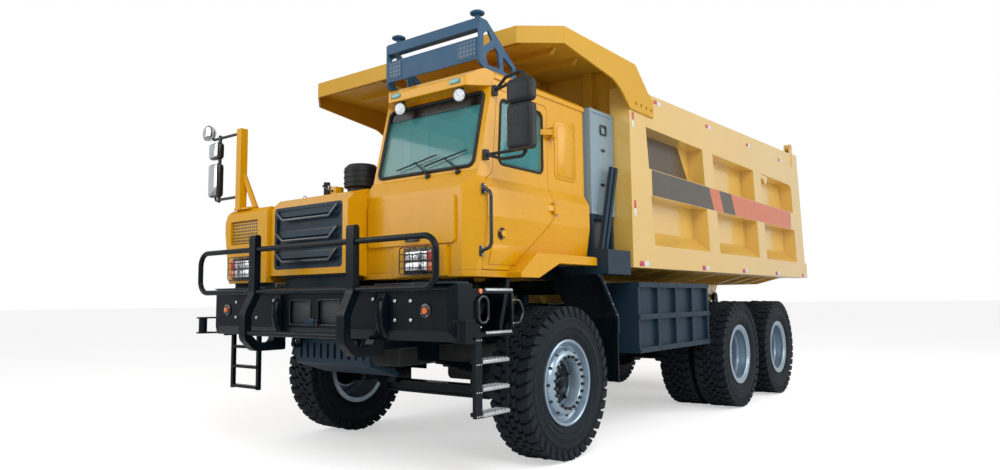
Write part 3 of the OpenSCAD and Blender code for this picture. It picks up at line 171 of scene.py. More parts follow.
def wire_mesh(name, pitch, holes, wire):
    """Woven or punched sheet: dark holes in a lighter web, with a bump along the wires."""
    material, nodes, links, shader = finish_nodes(name)
    place = nodes.new("ShaderNodeTexCoord")
    cells = nodes.new("ShaderNodeTexVoronoi")
    cells.inputs["Scale"].default_value = 1000 / pitch
    cells.inputs["Randomness"].default_value = 0
    links.new(place.outputs["Object"], cells.inputs["Vector"])
    tone = ramp(nodes, links, cells.outputs["Distance"], (*holes, 1), (*wire, 1), (0.34, 0.46))
    links.new(tone.outputs["Color"], shader.inputs["Base Color"])
    shader.inputs["Roughness"].default_value = 0.45
    bump(nodes, links, cells.outputs["Distance"], shader, 0.6, 0.004)
    return material


CAB_PAINT = surface("cab paint", dark=(0.70, 0.335, 0.001), light=(0.73, 0.355, 0.002),
                    rough=(0.24, 0.32), scale=0.8, coat=0.3, coat_ior=1.4, peel=0.02, shine=0.3)
# The bed's yellow is the cab's paint made paler: a painted reflection of the pale sky, laid into the colour
# of the bed sides
BED_PAINT_AND_SHEEN = surface("bed paint and sheen", dark=(0.73, 0.46, 0.090), light=(0.76, 0.49, 0.105), rough=(0.28, 0.36),
                    scale=0.7, coat=0.9, coat_ior=1.8, peel=0.02)
CANOPY_PAINT = surface("canopy paint", dark=(0.62, 0.34, 0.020), light=(0.65, 0.36, 0.026),
                       rough=(0.42, 0.52), scale=0.7, coat=0.12, coat_ior=1.4, peel=0.02, shine=0.22)
DARK_PAINT = surface("dark frame paint", dark=(0.002, 0.005, 0.008), light=(0.003, 0.007, 0.011),
                     rough=(0.22, 0.36), scale=2.0, coat=0.08, coat_ior=1.4, peel=0.02, shine=0.14)
GREY_PAINT = surface("blue grey paint", dark=(0.012, 0.030, 0.050), light=(0.016, 0.036, 0.058),
                     rough=(0.32, 0.46), scale=2.0, coat=0.06, coat_ior=1.4, peel=0.02, shine=0.16)
RACK_PAINT = surface("rack blue paint", dark=(0.026, 0.085, 0.165), light=(0.030, 0.095, 0.185),
                     rough=(0.3, 0.45), scale=2.0, coat=0.06, coat_ior=1.4, peel=0.02, shine=0.18)
LIGHT_PAINT = surface("light grey paint", dark=(0.21, 0.30, 0.36), light=(0.24, 0.33, 0.39),
                      rough=(0.3, 0.45), scale=2.0, coat=0.2, coat_ior=1.4, peel=0.02, shine=0.3)
RUBBER = surface("tyre rubber", dark=(0.007, 0.012, 0.017), light=(0.012, 0.018, 0.025),
                 rough=(0.55, 0.75), scale=9.0, peel=0.25, peel_scale=120, shine=0.18)
RIM_PAINT = surface("rim silver blue", dark=(0.33, 0.43, 0.52), light=(0.345, 0.445, 0.535),
                    rough=(0.28, 0.31), scale=1.0, metallic=0.55, coat=0.35, coat_ior=1.45)
BARE_STEEL = surface("bare steel", dark=(0.48, 0.50, 0.52), light=(0.62, 0.64, 0.66), rough=(0.16, 0.32),
                     scale=6.0, metallic=1.0)
BRIGHT_BOLT = surface("plated bolt", dark=(0.55, 0.57, 0.60), light=(0.75, 0.77, 0.80), rough=(0.18, 0.3),
                      scale=12.0, metallic=1.0)
CAST = surface("cast iron", dark=(0.030, 0.032, 0.034), light=(0.060, 0.062, 0.064), rough=(0.5, 0.75),
               scale=7.0, peel=0.3, peel_scale=90)
BLACK_PLASTIC = surface("black moulded plastic", dark=(0.008, 0.009, 0.010), light=(0.016, 0.018, 0.020),
                        rough=(0.4, 0.6), scale=8.0, peel=0.12, peel_scale=200, shine=0.3)
GLOSS_BLACK = surface("glossy black trim", dark=(0.004, 0.006, 0.008), light=(0.008, 0.011, 0.014),
                      rough=(0.2, 0.32), coat=0.35, coat_ior=1.45)
CLOTH = surface("seat cloth", dark=(0.018, 0.019, 0.021), light=(0.034, 0.035, 0.038), rough=(0.8, 0.95),
                scale=40.0, peel=0.4, peel_scale=300)
STRIPE_DARK = surface("dark stripe film", dark=(0.052, 0.040, 0.028), light=(0.058, 0.045, 0.032),
                      rough=(0.34, 0.42), scale=2.0, coat=0.3, coat_ior=1.45)
STRIPE_RED = surface("red stripe film", dark=(0.58, 0.145, 0.060), light=(0.61, 0.155, 0.066),
                     rough=(0.34, 0.42), scale=2.0, coat=0.3, coat_ior=1.45)
TAPE_RED = surface("red reflective tape", dark=(0.45, 0.012, 0.035), light=(0.56, 0.02, 0.05),
                   rough=(0.2, 0.3), scale=30.0, coat=0.6)
TAPE_WHITE = surface("white reflective tape", dark=(0.62, 0.66, 0.70), light=(0.74, 0.77, 0.80),
                     rough=(0.2, 0.3), scale=30.0, coat=0.6)
BROWN = surface("brown film", dark=(0.058, 0.042, 0.022), light=(0.066, 0.048, 0.026), rough=(0.34, 0.42),
                scale=2.0, coat=0.3, coat_ior=1.45)
LOUVRE = surface("louvre edge", dark=(0.020, 0.026, 0.032), light=(0.032, 0.040, 0.048), rough=(0.2, 0.3),
                 scale=4.0, metallic=0.3, coat=0.7)
REFLECTOR = surface("lamp reflector", dark=(0.70, 0.73, 0.76), light=(0.88, 0.90, 0.92),
                    rough=(0.03, 0.10), scale=20.0, metallic=1.0, coat=0.5, peel=0.9, peel_scale=26)
TREAD_METAL = surface("galvanised tread", dark=(0.42, 0.45, 0.48), light=(0.58, 0.61, 0.64), scale=14.0,
                      metallic=0.8, peel=0.2, peel_scale=150)
WINDOW = glass("tinted window", (0.05, 0.36, 0.38), 0.42)
MIRROR_GLASS = surface("mirror glass", dark=(0.55, 0.60, 0.62), light=(0.62, 0.66, 0.68),
                       rough=(0.03, 0.06), scale=1.0, metallic=1.0)
LAMP = glow("clear lamp", (0.80, 0.85, 0.88), 0.05)
AMBER = glow("amber lens", (0.85, 0.16, 0.02), 0.08)
RED_LENS = glow("red lens", (0.60, 0.02, 0.015), 0.06)
TEAL = glow("marker lens", (0.06, 0.30, 0.30), 0.02)
MESH_BLACK = wire_mesh("black mesh", 16, (0.001, 0.001, 0.001), (0.020, 0.022, 0.024))
MESH_GREY = wire_mesh("grey mesh", 18, (0.003, 0.004, 0.004), (0.035, 0.042, 0.05))
PUNCHED = wire_mesh("punched blue sheet", 40, (0.42, 0.36, 0.16), (0.028, 0.090, 0.175))
PUNCHED_YELLOW = wire_mesh("punched yellow sheet", 34, (0.06, 0.035, 0.006), (0.66, 0.36, 0.02))


# Making pieces. Weld distances are in metres, face areas in square metres, angles in degrees

WELD = 0.00005
CAD_WELD = 0.00002
FLAT_ANGLE = 0.6
SHARP_ANGLE = 24
SHALLOW_ANGLE = 4
LARGE_FACE = 0.012
STRAIGHT = 1.55


def fresh(o=None):
    """Nothing selected, or only o, which is then the active object."""
    bpy.ops.object.select_all(action="DESELECT")
    if o is not None:
        o.select_set(True)
        bpy.context.view_layer.objects.active = o


def settle(o):
    fresh(o)
    bpy.ops.object.transform_apply(location=True, rotation=True, scale=True)
    return o


def apply(o, kind, **settings):
    fresh(o)
    m = o.modifiers.new(kind, kind)
    for key, value in settings.items():
        setattr(m, key, value)
    bpy.ops.object.modifier_apply(modifier=m.name)
    return o


def round_edges(o, width, segments=2, angle=35):
    return apply(o, "BEVEL", width=width / 1000, segments=segments, limit_method="ANGLE",
                 angle_limit=math.radians(angle))


def smooth(o, angle=38):
    fresh(o)
    bpy.ops.object.shade_smooth_by_angle(angle=math.radians(angle))
    return o


def ready(o, name, material, body="chassis"):
    """Names a finished piece, gives it its finish and fixes it to its body."""
    o.name = name.replace(" ", "_")
    o.data.name = o.name
    o.data.materials.clear()
    o.data.materials.append(material)
    smooth(o)
    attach(o, body)
    return o


def join(pieces):
    fresh(pieces[0])
    for p in pieces:
        p.select_set(True)
    bpy.ops.object.join()
    return pieces[0]


def copied(o):
    c = bpy.data.objects.new(o.name, o.data.copy())
    bpy.context.scene.collection.objects.link(c)
    return c


def moved(o, x, y, z):
    c = copied(o)
    c.data.transform(Matrix.Translation(Vector((x, y, z)) / 1000))
    return c


def flipped(o):
    """The same piece on the truck's other side."""
    c = copied(o)
    c.data.transform(Matrix.Scale(-1, 4, (1, 0, 0)))
    c.data.flip_normals()
    return c


def block(lo, hi, edge=4, segments=2):
    low, high = at(*lo), at(*hi)
    fresh()
    bpy.ops.mesh.primitive_cube_add(size=1, location=(low + high) / 2, scale=high - low)
    o = settle(bpy.context.active_object)
    return round_edges(o, edge, segments) if edge else o


def rod(p, q, d, sides=24, edge=2):
    a, b = at(*p), at(*q)
    turn = (b - a).to_track_quat("Z", "Y").to_euler()
    fresh()
    bpy.ops.mesh.primitive_cylinder_add(vertices=sides, radius=d / 2000, depth=(b - a).length,
                                        location=(a + b) / 2, rotation=turn)
    o = settle(bpy.context.active_object)
    return round_edges(o, edge, 2, 50) if edge else o


def corner(a, b, c, r, steps=6):
    """Points of a round bend of radius r at b, between a and c."""
    u, v = (a - b).normalized(), (c - b).normalized()
    half = u.angle(v) / 2
    if r <= 0 or half > STRAIGHT:
        return [b]
    reach = min(r / math.tan(half), (a - b).length * 0.49, (c - b).length * 0.49)
    r = reach * math.tan(half)
    centre = b + (u + v).normalized() * (r / math.sin(half))
    s, e = b + u * reach - centre, b + v * reach - centre
    return [centre + s.normalized().slerp(e.normalized(), i / steps) * r for i in range(steps + 1)]


def tube(points, d, bend=60, closed=False, sides=5):
    """A bent round bar through the points."""
    p = [at(*q) for q in points]
    n = len(p)
    route = []
    for i in range(n):
        if not closed and i in (0, n - 1):
            route.append(p[i])
        else:
            route += corner(p[i - 1], p[i], p[(i + 1) % n], bend / 1000)
    curve = bpy.data.curves.new("tube", "CURVE")
    curve.dimensions = "3D"
    curve.bevel_depth = d / 2000
    curve.bevel_resolution = sides
    curve.use_fill_caps = True
    line = curve.splines.new("POLY")
    line.points.add(len(route) - 1)
    for spot, where in zip(line.points, route):
        spot.co = (*where, 1)
    line.use_cyclic_u = closed
    o = bpy.data.objects.new("tube", curve)
    bpy.context.scene.collection.objects.link(o)
    fresh(o)
    bpy.ops.object.convert(target="MESH")
    return bpy.context.active_object


def ring_of(outline):
    """A flat face with its corners on the outline."""
    fresh()
    bpy.ops.mesh.primitive_circle_add(vertices=len(outline), fill_type="NGON")
    o = bpy.context.active_object
    for v, where in zip(o.data.vertices, outline):
        v.co = where
    return o


def plate(outline, thick, push, edge=3):
    """A sheet with that outline, pushed out by thick along push."""
    o = ring_of([at(*p) for p in outline])
    fresh(o)
    bpy.ops.object.mode_set(mode="EDIT")
    bpy.ops.mesh.select_all(action="SELECT")
    step = Vector(push).normalized() * thick / 1000
    bpy.ops.mesh.extrude_region_move(TRANSFORM_OT_translate={"value": step})
    bpy.ops.mesh.select_all(action="SELECT")
    bpy.ops.mesh.normals_make_consistent(inside=False)
    bpy.ops.object.mode_set(mode="OBJECT")
    return round_edges(o, edge) if edge else o


def lathe(profile, x, y, z, steps=72):
    """A ring about a line along X: profile points are (radius, distance along X)."""
    fresh()
    bpy.ops.mesh.primitive_circle_add(vertices=len(profile), fill_type="NOTHING")
    o = bpy.context.active_object
    for v, (r, a) in zip(o.data.vertices, profile):
        v.co = (a / 1000, 0, r / 1000)
    apply(o, "SCREW", angle=math.tau, steps=steps, render_steps=steps, axis="X", use_merge_vertices=True,
          merge_threshold=WELD)
    fresh(o)
    bpy.ops.object.mode_set(mode="EDIT")
    bpy.ops.mesh.select_all(action="SELECT")
    bpy.ops.mesh.remove_doubles(threshold=WELD)
    bpy.ops.mesh.normals_make_consistent(inside=False)
    bpy.ops.object.mode_set(mode="OBJECT")
    o.data.transform(Matrix.Translation(at(x, y, z)))
    return o


def turned(o, x, y, z, angle, axis="X"):
    """A copy of o turned about a line through a place."""
    c = copied(o)
    pivot = at(x, y, z)
    spin = Matrix.Rotation(angle, 4, axis)
    c.data.transform(Matrix.Translation(pivot) @ spin @ Matrix.Translation(-pivot))
    return c


def drop(*pieces):
    for o in pieces:
        bpy.data.objects.remove(o)


def mark_folds(mesh):
    """Weights the edges to round: every sharp one, and shallow ones where two large faces meet."""
    work = bmesh.new()
    work.from_mesh(mesh)
    weight = work.edges.layers.float.new("bevel_weight_edge")
    for e in work.edges:
        if len(e.link_faces) == 2:
            angle = math.degrees(e.calc_face_angle(0))
            small = min(f.calc_area() for f in e.link_faces)
            if angle > SHARP_ANGLE or (angle > SHALLOW_ANGLE and small > LARGE_FACE):
                e[weight] = 1.0
    work.to_mesh(mesh)
    work.free()


def softened(node, material, edge=5, segments=2):
    """The CAD node's own shape with its sharp edges rounded, as pressed and welded sheet has them."""
    source = frame["nodes"][node]
    o = bpy.data.objects.new(node + " finished", source.data.copy())
    bpy.context.scene.collection.objects.link(o)
    fresh(o)
    bpy.ops.object.mode_set(mode="EDIT")
    bpy.ops.mesh.select_all(action="SELECT")
    bpy.ops.mesh.remove_doubles(threshold=CAD_WELD)
    bpy.ops.mesh.dissolve_limited(angle_limit=math.radians(FLAT_ANGLE))
    bpy.ops.object.mode_set(mode="OBJECT")
    if edge:
        mark_folds(o.data)
        apply(o, "BEVEL", width=edge / 1000, segments=segments, limit_method="WEIGHT")
    body = source["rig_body"]
    ready(o, node + " finished", material, body)
    apply(o, "WEIGHTED_NORMAL", keep_sharp=True)
    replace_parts(o, node)
    return o


# Painted structure taken over from the frame

YELLOW_CAB = ["engine_hood", "right_front_housing", "cab_floor", "cab_front", "cab_left_side",
              "cab_right_side", "cab_rear", "cab_roof", "left_door"]
YELLOW_BED = ["bed_floor", "bed_left_wall", "bed_right_wall", "tailgate"]
DARK = ["chassis_frame", "front_bumper", "bull_bar", "front_axle", "rear_axles", "leaf_springs",
        "propeller_shafts", "boarding_steps", "left_knuckle", "right_knuckle", "hoist_barrels",
        "front_mudguards"]
GREY = ["skid_guard", "side_tanks", "rear_deck"]
PLASTIC = ["air_cleaner", "left_mirrors", "dashboard", "steering_wheel"]

for node in YELLOW_CAB:
    softened(node, CAB_PAINT, 7, 3)
for node in YELLOW_BED:
    softened(node, BED_PAINT_AND_SHEEN, 6, 2)
for node in DARK:
    softened(node, DARK_PAINT, 4, 2)
for node in GREY:
    softened(node, GREY_PAINT, 4, 2)
for node in PLASTIC:
    softened(node, BLACK_PLASTIC, 4, 2)
for node in ["bed_headboard", "bed_canopy"]:
    softened(node, CANOPY_PAINT, 6, 2)
softened("grille", GREY_PAINT, 4, 2)
softened("sensor_rack", RACK_PAINT, 4, 2)
softened("equipment_cabinet", LIGHT_PAINT, 5, 2)
softened("engine", CAST, 12, 3)
softened("driver_seat", CLOTH, 25, 4)
for node in ["tie_rod", "hoist_stage_1", "hoist_stage_2"]:
    softened(node, BARE_STEEL, 2, 2)
for node in ["cab_glass", "left_door_window"]:
    softened(node, WINDOW, 0, 1)
for node in frame["nodes"]:
    if node.endswith("_rims"):
        softened(node, RIM_PAINT, 4, 2)


# The right mirror post is yellow; its arms and heads, further out, are black

MIRROR_ARMS_X = -1500
mirrors = softened("right_mirrors", CAB_PAINT, 5, 2)
mirrors.data.materials.append(GLOSS_BLACK)
for face in mirrors.data.polygons:
    if face.center.x < MIRROR_ARMS_X / 1000:
        face.material_index = 1


# The bed's hinge bores, opened by a hair so that their facets clear the pin's when the bed turns

HINGE = at(0, 7100, 1560)
BORE_R = 50
BORE_SLACK = 1
BORE_OPENED = 1.5
bed_floor = bpy.data.objects["bed_floor_finished"]
for v in bed_floor.data.vertices:
    away = Vector((0, v.co.y - HINGE.y, v.co.z - HINGE.z))
    if abs(away.length - BORE_R / 1000) < BORE_SLACK / 1000:
        v.co += away.normalized() * BORE_OPENED / 1000


# Seat pads: rounded blocks blown up as cloth, with sewn channels pulled in

SEAT = (960, -150, 2265)
PAD_GRID = 0.012
PAD_PRESSURE = 4
PAD_FRAMES = 20
SEAM_WIDTH = 0.011
SEAM_REACH = 0.035


def pad(lo, hi, swell=0.018):
    """A stuffed pad: no point of it swells further than the given metres."""
    o = block(lo, hi, 34, 4)
    fresh(o)
    o.data.remesh_voxel_size = PAD_GRID
    bpy.ops.object.voxel_remesh()
    start = [v.co.copy() for v in o.data.vertices]
    cloth = o.modifiers.new("stuffing", "CLOTH")
    cloth.settings.use_pressure = True
    cloth.settings.uniform_pressure_force = PAD_PRESSURE
    cloth.settings.effector_weights.gravity = 0
    cloth.point_cache.frame_end = PAD_FRAMES
    for f in range(1, PAD_FRAMES + 1):
        bpy.context.scene.frame_set(f)
    bpy.ops.object.modifier_apply(modifier="stuffing")
    bpy.context.scene.frame_set(1)
    for v, was in zip(o.data.vertices, start):
        step = v.co - was
        if step.length > swell:
            v.co = was + step.normalized() * swell
    return o


def sewn(o, seams, axis, depth=0.010):
    """Pulls the pad in along straight seams: places along X, depth along the axis."""
    middle = sum(v.co[axis] for v in o.data.vertices) / len(o.data.vertices)
    for v in o.data.vertices:
        pull = sum(math.exp(-((v.co.x - x / 1000) / SEAM_WIDTH) ** 2) for x in seams)
        v.co[axis] += (middle - v.co[axis]) * min(1, pull) * depth / SEAM_REACH
    return o


x, y, z = SEAT
seat_pad = sewn(pad((x - 236, y - 262, z - 18), (x + 236, y + 150, z + 44)), (x - 120, x + 120), 2)
back_pad = sewn(pad((x - 226, y + 96, z + 60), (x + 226, y + 158, z + 612)), (x - 115, x + 115), 1)
lean = turned(back_pad, x, y + 150, z, math.radians(-12.4))
head_pad = pad((x - 136, y + 262, z + 655), (x + 136, y + 318, z + 800), 0.012)
head_lean = turned(head_pad, x, y + 290, z + 720, math.radians(-7))
drop(back_pad, head_pad)
for piece, name in ((seat_pad, "seat pad"), (lean, "back pad"), (head_lean, "head pad")):
    apply(piece, "SUBSURF", levels=1, render_levels=1)
    ready(piece, name, CLOTH, "chassis")


# Small repeated pieces

def facing(o, place, towards):
    """Turns a piece modelled along +X at the origin towards a direction and moves it to a place."""
    turn = Vector(towards).to_track_quat("X", "Z").to_matrix().to_4x4()
    o.data.transform(Matrix.Translation(at(*place)) @ turn)
    return o


def spun(profile, place, towards, steps=32):
    """A turned piece: profile points are (radius, distance along its own line)."""
    return facing(lathe(profile, 0, MIDDLE, 0, steps), place, towards)


def hex_head(d, h):
    fresh()
    bpy.ops.mesh.primitive_cylinder_add(vertices=6, radius=d / 2000, depth=h / 1000,
                                        location=(h / 2000, 0, 0), rotation=(0, math.pi / 2, 0))
    return round_edges(settle(bpy.context.active_object), d * 0.1, 1)


def bolts(name, places, towards, d=26, h=12, material=BRIGHT_BOLT, body="chassis"):
    """Bolt heads at the places, one modelled and the others copied from it."""
    master = hex_head(d, h)
    made = [facing(copied(master), p, towards) for p in places]
    drop(master)
    return ready(join(made), name, material, body)


def both(o, name, material, body="chassis"):
    """The piece and its mirror image."""
    twin = flipped(o)
    ready(twin, name + " right", material, body)
    return ready(o, name + " left", material, body)


# Tyres: casing with sidewall rings, swept shoulder lugs and staggered centre blocks

PITCHES = 39
TREAD_TOP = 2 * TYRE_R - 6
TREAD_FLOOR = TREAD_TOP - 40
LUG_HEIGHT = 39


def lug(outline, push, thick):
    """A tread block at the top of the front left tyre: outline points are measured from its middle."""
    o = plate([(FRONT_WHEEL_X + a, y, z) for a, y, z in outline], thick, push, 0)
    return round_edges(o, 5, 1)


def shoulder(side, dy):
    """The lug on one shoulder, with its wing down the sidewall."""
    top = [(90, -46), (140, -40), (178, -22), (178, 70), (140, 50), (90, 44)]
    block_top = lug([(side * a, dy + y, TREAD_FLOOR) for a, y in top], (0, 0, 1), LUG_HEIGHT)
    wing = [(-16, 1482), (70, 1482), (112, 1384), (34, 1378)]
    block_side = lug([(side * 164, dy + y, z) for y, z in wing], (side, 0, 0), 49)
    return [block_top, block_side]


def centre(a, dy):
    """A slanted block in the middle of the tread."""
    outline = [(a - 27, -52), (a + 27, -38), (a + 27, 52), (a - 27, 38)]
    return lug([(p, dy + y, TREAD_FLOOR) for p, y in outline], (0, 0, 1), LUG_HEIGHT)


def model_tyre():
    """The front left tyre: one pitch of the tread is modelled and then copied around."""
    half = [(390, 168), (418, 170), (446, 190), (470, 203), (476, 209), (486, 210), (492, 205),
            (520, 211), (526, 216), (540, 217), (546, 213), (600, 211), (606, 214), (616, 213),
            (622, 208), (662, 199), (694, 186), (706, 165), (708, 80)]
    profile = half + [(r, -a) for r, a in reversed(half)]
    casing = lathe(profile, FRONT_WHEEL_X, 0, TYRE_R, 96)
    arc = math.tau * TYRE_R / PITCHES
    lugs = shoulder(1, 0) + shoulder(-1, arc / 2) + [centre(-58, 0), centre(58, 20), centre(0, arc / 2)]
    pitch = join(lugs)
    ring = [turned(pitch, FRONT_WHEEL_X, 0, TYRE_R, math.tau * i / PITCHES) for i in range(PITCHES)]
    drop(pitch)
    return join([casing] + ring)


tyre = model_tyre()
for axle, y in AXLES.items():
    for side in ("left", "right"):
        if axle == "front":
            piece, node = moved(tyre, 0, y, 0), "front_%s_tyre" % side
        else:
            piece = join([moved(tyre, x - FRONT_WHEEL_X, y, 0) for x in TWIN_X])
            node = "%s_%s_tyres" % (axle, side)
        if side == "right":
            wrong = piece
            piece = flipped(wrong)
            drop(wrong)
        ready(piece, node + " finished", RUBBER, "%s_%s_wheel" % (axle, side))
        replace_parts(piece, node)
drop(tyre)


# Front rims: dish with a bulging stud ring, dark ribbed hub and nuts

RIM_SECTION = [(415, 190), (402, 197), (388, 188), (374, 125), (352, 108), (332, 112), (320, 150),
               (302, 180), (272, 192), (238, 190), (229, 178), (226, 60), (160, 52), (160, 34), (236, 36),
               (262, 160), (296, 150), (316, 92), (362, 86), (362, -190), (415, -190), (415, -172),
               (390, -168), (390, 168), (415, 172)]
HUB_SECTION = [(0.5, 132), (48, 132), (62, 122), (74, 96), (150, 80), (224, 56), (224, 40), (158, -118),
               (78, -118), (78, 66), (0.5, 66)]


def around(o, count):
    """Copies of a piece set evenly around the front left wheel, joined."""
    made = [turned(o, FRONT_WHEEL_X, 0, TYRE_R, math.tau * i / count) for i in range(count)]
    drop(o)
    return join(made)


rim = lathe(RIM_SECTION, FRONT_WHEEL_X, 0, TYRE_R, 96)
hub = lathe(HUB_SECTION, FRONT_WHEEL_X, 0, TYRE_R, 64)
ribs = around(block((1548, -9, 825), (1590, 9, 955), 4), 5)
nuts = around(facing(hex_head(34, 34), (1690, 0, 993), (1, 0, 0)), 22)
holes = around(rod((1640, 0, 1051), (1677, 0, 1061), 30, 16, 2), 12)
for piece, name, material, slot in ((rim, "rim", RIM_PAINT, "rim_silver"),
                                    (hub, "hub", DARK_PAINT, "dark_paint"),
                                    (ribs, "hub ribs", DARK_PAINT, "dark_paint"),
                                    (nuts, "wheel nuts", GLOSS_BLACK, "dark_paint"),
                                    (holes, "disc holes", GLOSS_BLACK, "dark_paint")):
    for side in ("left", "right"):
        o = copied(piece) if side == "left" else flipped(piece)
        ready(o, "front %s %s" % (side, name), material, "front_%s_wheel" % side)
        if name == "rim":
            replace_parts(o, "front_%s_rim" % side)
    drop(piece)


# Rear wheels: lock ring and gutter inside the rim, hub bolts and wheel nuts

LOCK_RING = [(364.5, 186), (360, 178), (346, 174), (340, 166), (340, 150), (346, 142), (364.5, 138)]
GUTTER = [(364.5, 40), (352, 34), (346, 20), (346, -10), (352, -24), (364.5, -30)]


def bolt_circle(x, y, r, count):
    """Places set evenly around a wheel's line."""
    turns = [math.tau * i / count for i in range(count)]
    return [(x, y + r * math.cos(a), TYRE_R + r * math.sin(a)) for a in turns]


for axle in ("middle", "rear"):
    y = AXLES[axle]
    bands = join([lathe(LOCK_RING, TWIN_X[1], y, TYRE_R, 72), lathe(GUTTER, TWIN_X[1], y, TYRE_R, 72)])
    ready(flipped(bands), axle + " right rim bands", RIM_PAINT, axle + "_right_wheel")
    ready(bands, axle + " left rim bands", RIM_PAINT, axle + "_left_wheel")
    caps = bolt_circle(1725, y, 112, 12)
    ring = bolt_circle(1472, y, 268, 20)
    for side in ("left", "right"):
        s = 1 if side == "left" else -1
        body = "%s_%s_wheel" % (axle, side)
        bolts("%s %s hub bolts" % (axle, side), [(s * a, b, c) for a, b, c in caps], (s, 0, 0), 26, 12,
              GLOSS_BLACK, body)
        bolts("%s %s wheel nuts" % (axle, side), [(s * a, b, c) for a, b, c in ring], (s, 0, 0), 40, 30,
              GLOSS_BLACK, body)


# Headlamps behind wire guards

def headlamp(x0, x1, y, outer):
    """Lamp between x0 and x1 on a panel at y; outer is 1 or -1, towards the truck's side."""
    housing = block((x0 + 6, y - 30, 1790), (x1 - 6, y, 2024), 14, 3)
    ready(housing, "headlamp housing", GLOSS_BLACK, "chassis")
    near, far = (x1, x0) if outer > 0 else (x0, x1)
    lens = sorted((far + outer * 52, near - outer * 84))
    strip = sorted((near - outer * 72, near - outer * 18))
    for z in (1812, 1906):
        ready(block((lens[0], y - 54, z), (lens[1], y - 28, z + 86), 12, 3), "lamp reflector", REFLECTOR,
              "chassis")
    ready(block((strip[0], y - 52, 1900), (strip[1], y - 28, 1994), 8, 2), "red lens", RED_LENS,
          "chassis")
    ready(block((strip[0], y - 52, 1812), (strip[1], y - 28, 1892), 8, 2), "amber lens", AMBER,
          "chassis")
    g = y - 70
    wires = [tube([(x0, g, 1786), (x1, g, 1786), (x1, g, 2028), (x0, g, 2028)], 10, 30, True, 3)]
    for z in (1846, 1907, 1968):
        hoop = [(x0 - 14, y - 20, z), (x0 - 14, g, z), (x1 + 14, g, z), (x1 + 14, y - 20, z)]
        wires.append(tube(hoop, 7, 16, False, 3))
    for x in (x0 + 130, x0 + 270):
        hoop = [(x, y - 4, 2030), (x, g, 2030), (x, g, 1784), (x, y - 4, 1784)]
        wires.append(tube(hoop, 8, 14, False, 3))
    ready(join(wires), "lamp guard", GLOSS_BLACK, "chassis")
    return housing


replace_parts(headlamp(836, 1238, -1385, 1), "headlamps")
headlamp(-1484, -1080, -1640, -1)


# Bumper: lamps, bolts, mesh panels and hook plates

for x, z in ((-1428, 1477), (1424, 1472)):
    ready(spun([(0.5, 0), (62, 0), (62, 8), (56, 12), (30, 12), (0.5, 12)], (x, BUMPER_FRONT, z),
               (0, -1, 0)), "lamp plate", GLOSS_BLACK, "chassis")
    ready(spun([(0.5, 10), (27, 10), (27, 24), (18, 34), (0.5, 38)], (x, BUMPER_FRONT, z), (0, -1, 0)),
          "amber lamp", AMBER, "chassis")
    ring = [(x + 48 * math.cos(a), BUMPER_FRONT - 10, z + 48 * math.sin(a))
            for a in (0.5, 2.07, 3.64, 5.21)]
    bolts("lamp plate bolts", ring, (0, -1, 0), 12, 6)
FACE_BOLTS = [(893, 1555), (1072, 1554), (1255, 1553), (889, 1395), (1073, 1393), (1258, 1395),
              (-1263, 1558), (-1268, 1403), (-904, 1401), (-620, 1570), (800, 1570)]
bolts("bumper bolts", [(x, BUMPER_FRONT, z) for x, z in FACE_BOLTS], (0, -1, 0), 36, 14)
for side in (-1, 1):
    x0, x1 = sorted((side * 52, side * 368))
    ready(block((x0, -1712, 1339), (x1, -1706, 1571), 2), "bumper mesh", MESH_GREY, "chassis")
    rim_line = [(x0, -1738, 1339), (x1, -1738, 1339), (x1, -1738, 1571), (x0, -1738, 1571)]
    ready(tube(rim_line, 12, 22, True, 3), "mesh frame", GLOSS_BLACK, "chassis")
for x0, x1 in ((905, 985), (-560, -480)):
    curve = [(-1735, 1620), (-1765, 1620), (-1800, 1540), (-1812, 1430), (-1795, 1320), (-1735, 1240)]
    ready(plate([(x0, y, z) for y, z in curve], x1 - x0, (1, 0, 0), 6), "hook plate", DARK_PAINT,
          "chassis")
ready(block((-88, -1775, 1328), (40, -1735, 1398), 6), "front camera", GREY_PAINT, "chassis")
for z in (1345, 1380):
    ready(spun([(0.5, 0), (16, 0), (16, 26), (10, 32), (0.5, 32)], (62, -1735, z), (0, -1, 0), 20),
          "camera plug", GLOSS_BLACK, "chassis")
# Thin blue-grey slabs on the dark bumper top: their lighter tone is a painted reflection of the sky on the
# bumper's top
ready(block((-1690, -1728, 1690), (-790, -1500, 1704), 4), "bumper deck right", GREY_PAINT, "chassis")
ready(block((800, -1728, 1690), (1690, -1500, 1704), 4), "bumper deck left", GREY_PAINT, "chassis")


# Grille louvre edges, punched sheet and hood fittings

for i in range(3):
    z = 1880 + 210 * i + 62
    fold = [(-776, z + 96), (-660, z), (66, z), (180, z + 96), (180, z + 122), (60, z + 26), (-654, z + 26),
            (-776, z + 122)]
    ready(plate([(x, -1602, h) for x, h in fold], 34, (0, -1, 0), 5), "louvre edge", LOUVRE, "chassis")
    ready(block((-760, -1588, z + 40), (166, -1584, z + 118), 1), "grille mesh", MESH_BLACK, "chassis")
bolts("grille bolts", [(x, -1599, z) for x in (-600, -300, 0) for z in (1898, 2492)], (0, -1, 0), 16, 5,
      GLOSS_BLACK, "chassis")
ready(block((-1560, -1570, 1698), (-850, -1556, 1756), 3), "bumper apron", RUBBER, "chassis")
for x0, x1 in ((326, 500), (1240, 1464)):
    ready(block((x0, -1105, 3766), (x1, -1100, 3926), 1), "rack sheet", PUNCHED, "chassis")
ready(block((-1556, -1616, 2174), (-1064, -1611, 2416), 1), "punched sheet", PUNCHED_YELLOW, "chassis")
for z in (2800, 2860, 2920):
    ready(spun([(182, -7), (190, -4), (190, 4), (182, 7)], (-290, -900, z), (0, 0, 1), 48),
          "cleaner band", BLACK_PLASTIC, "chassis")
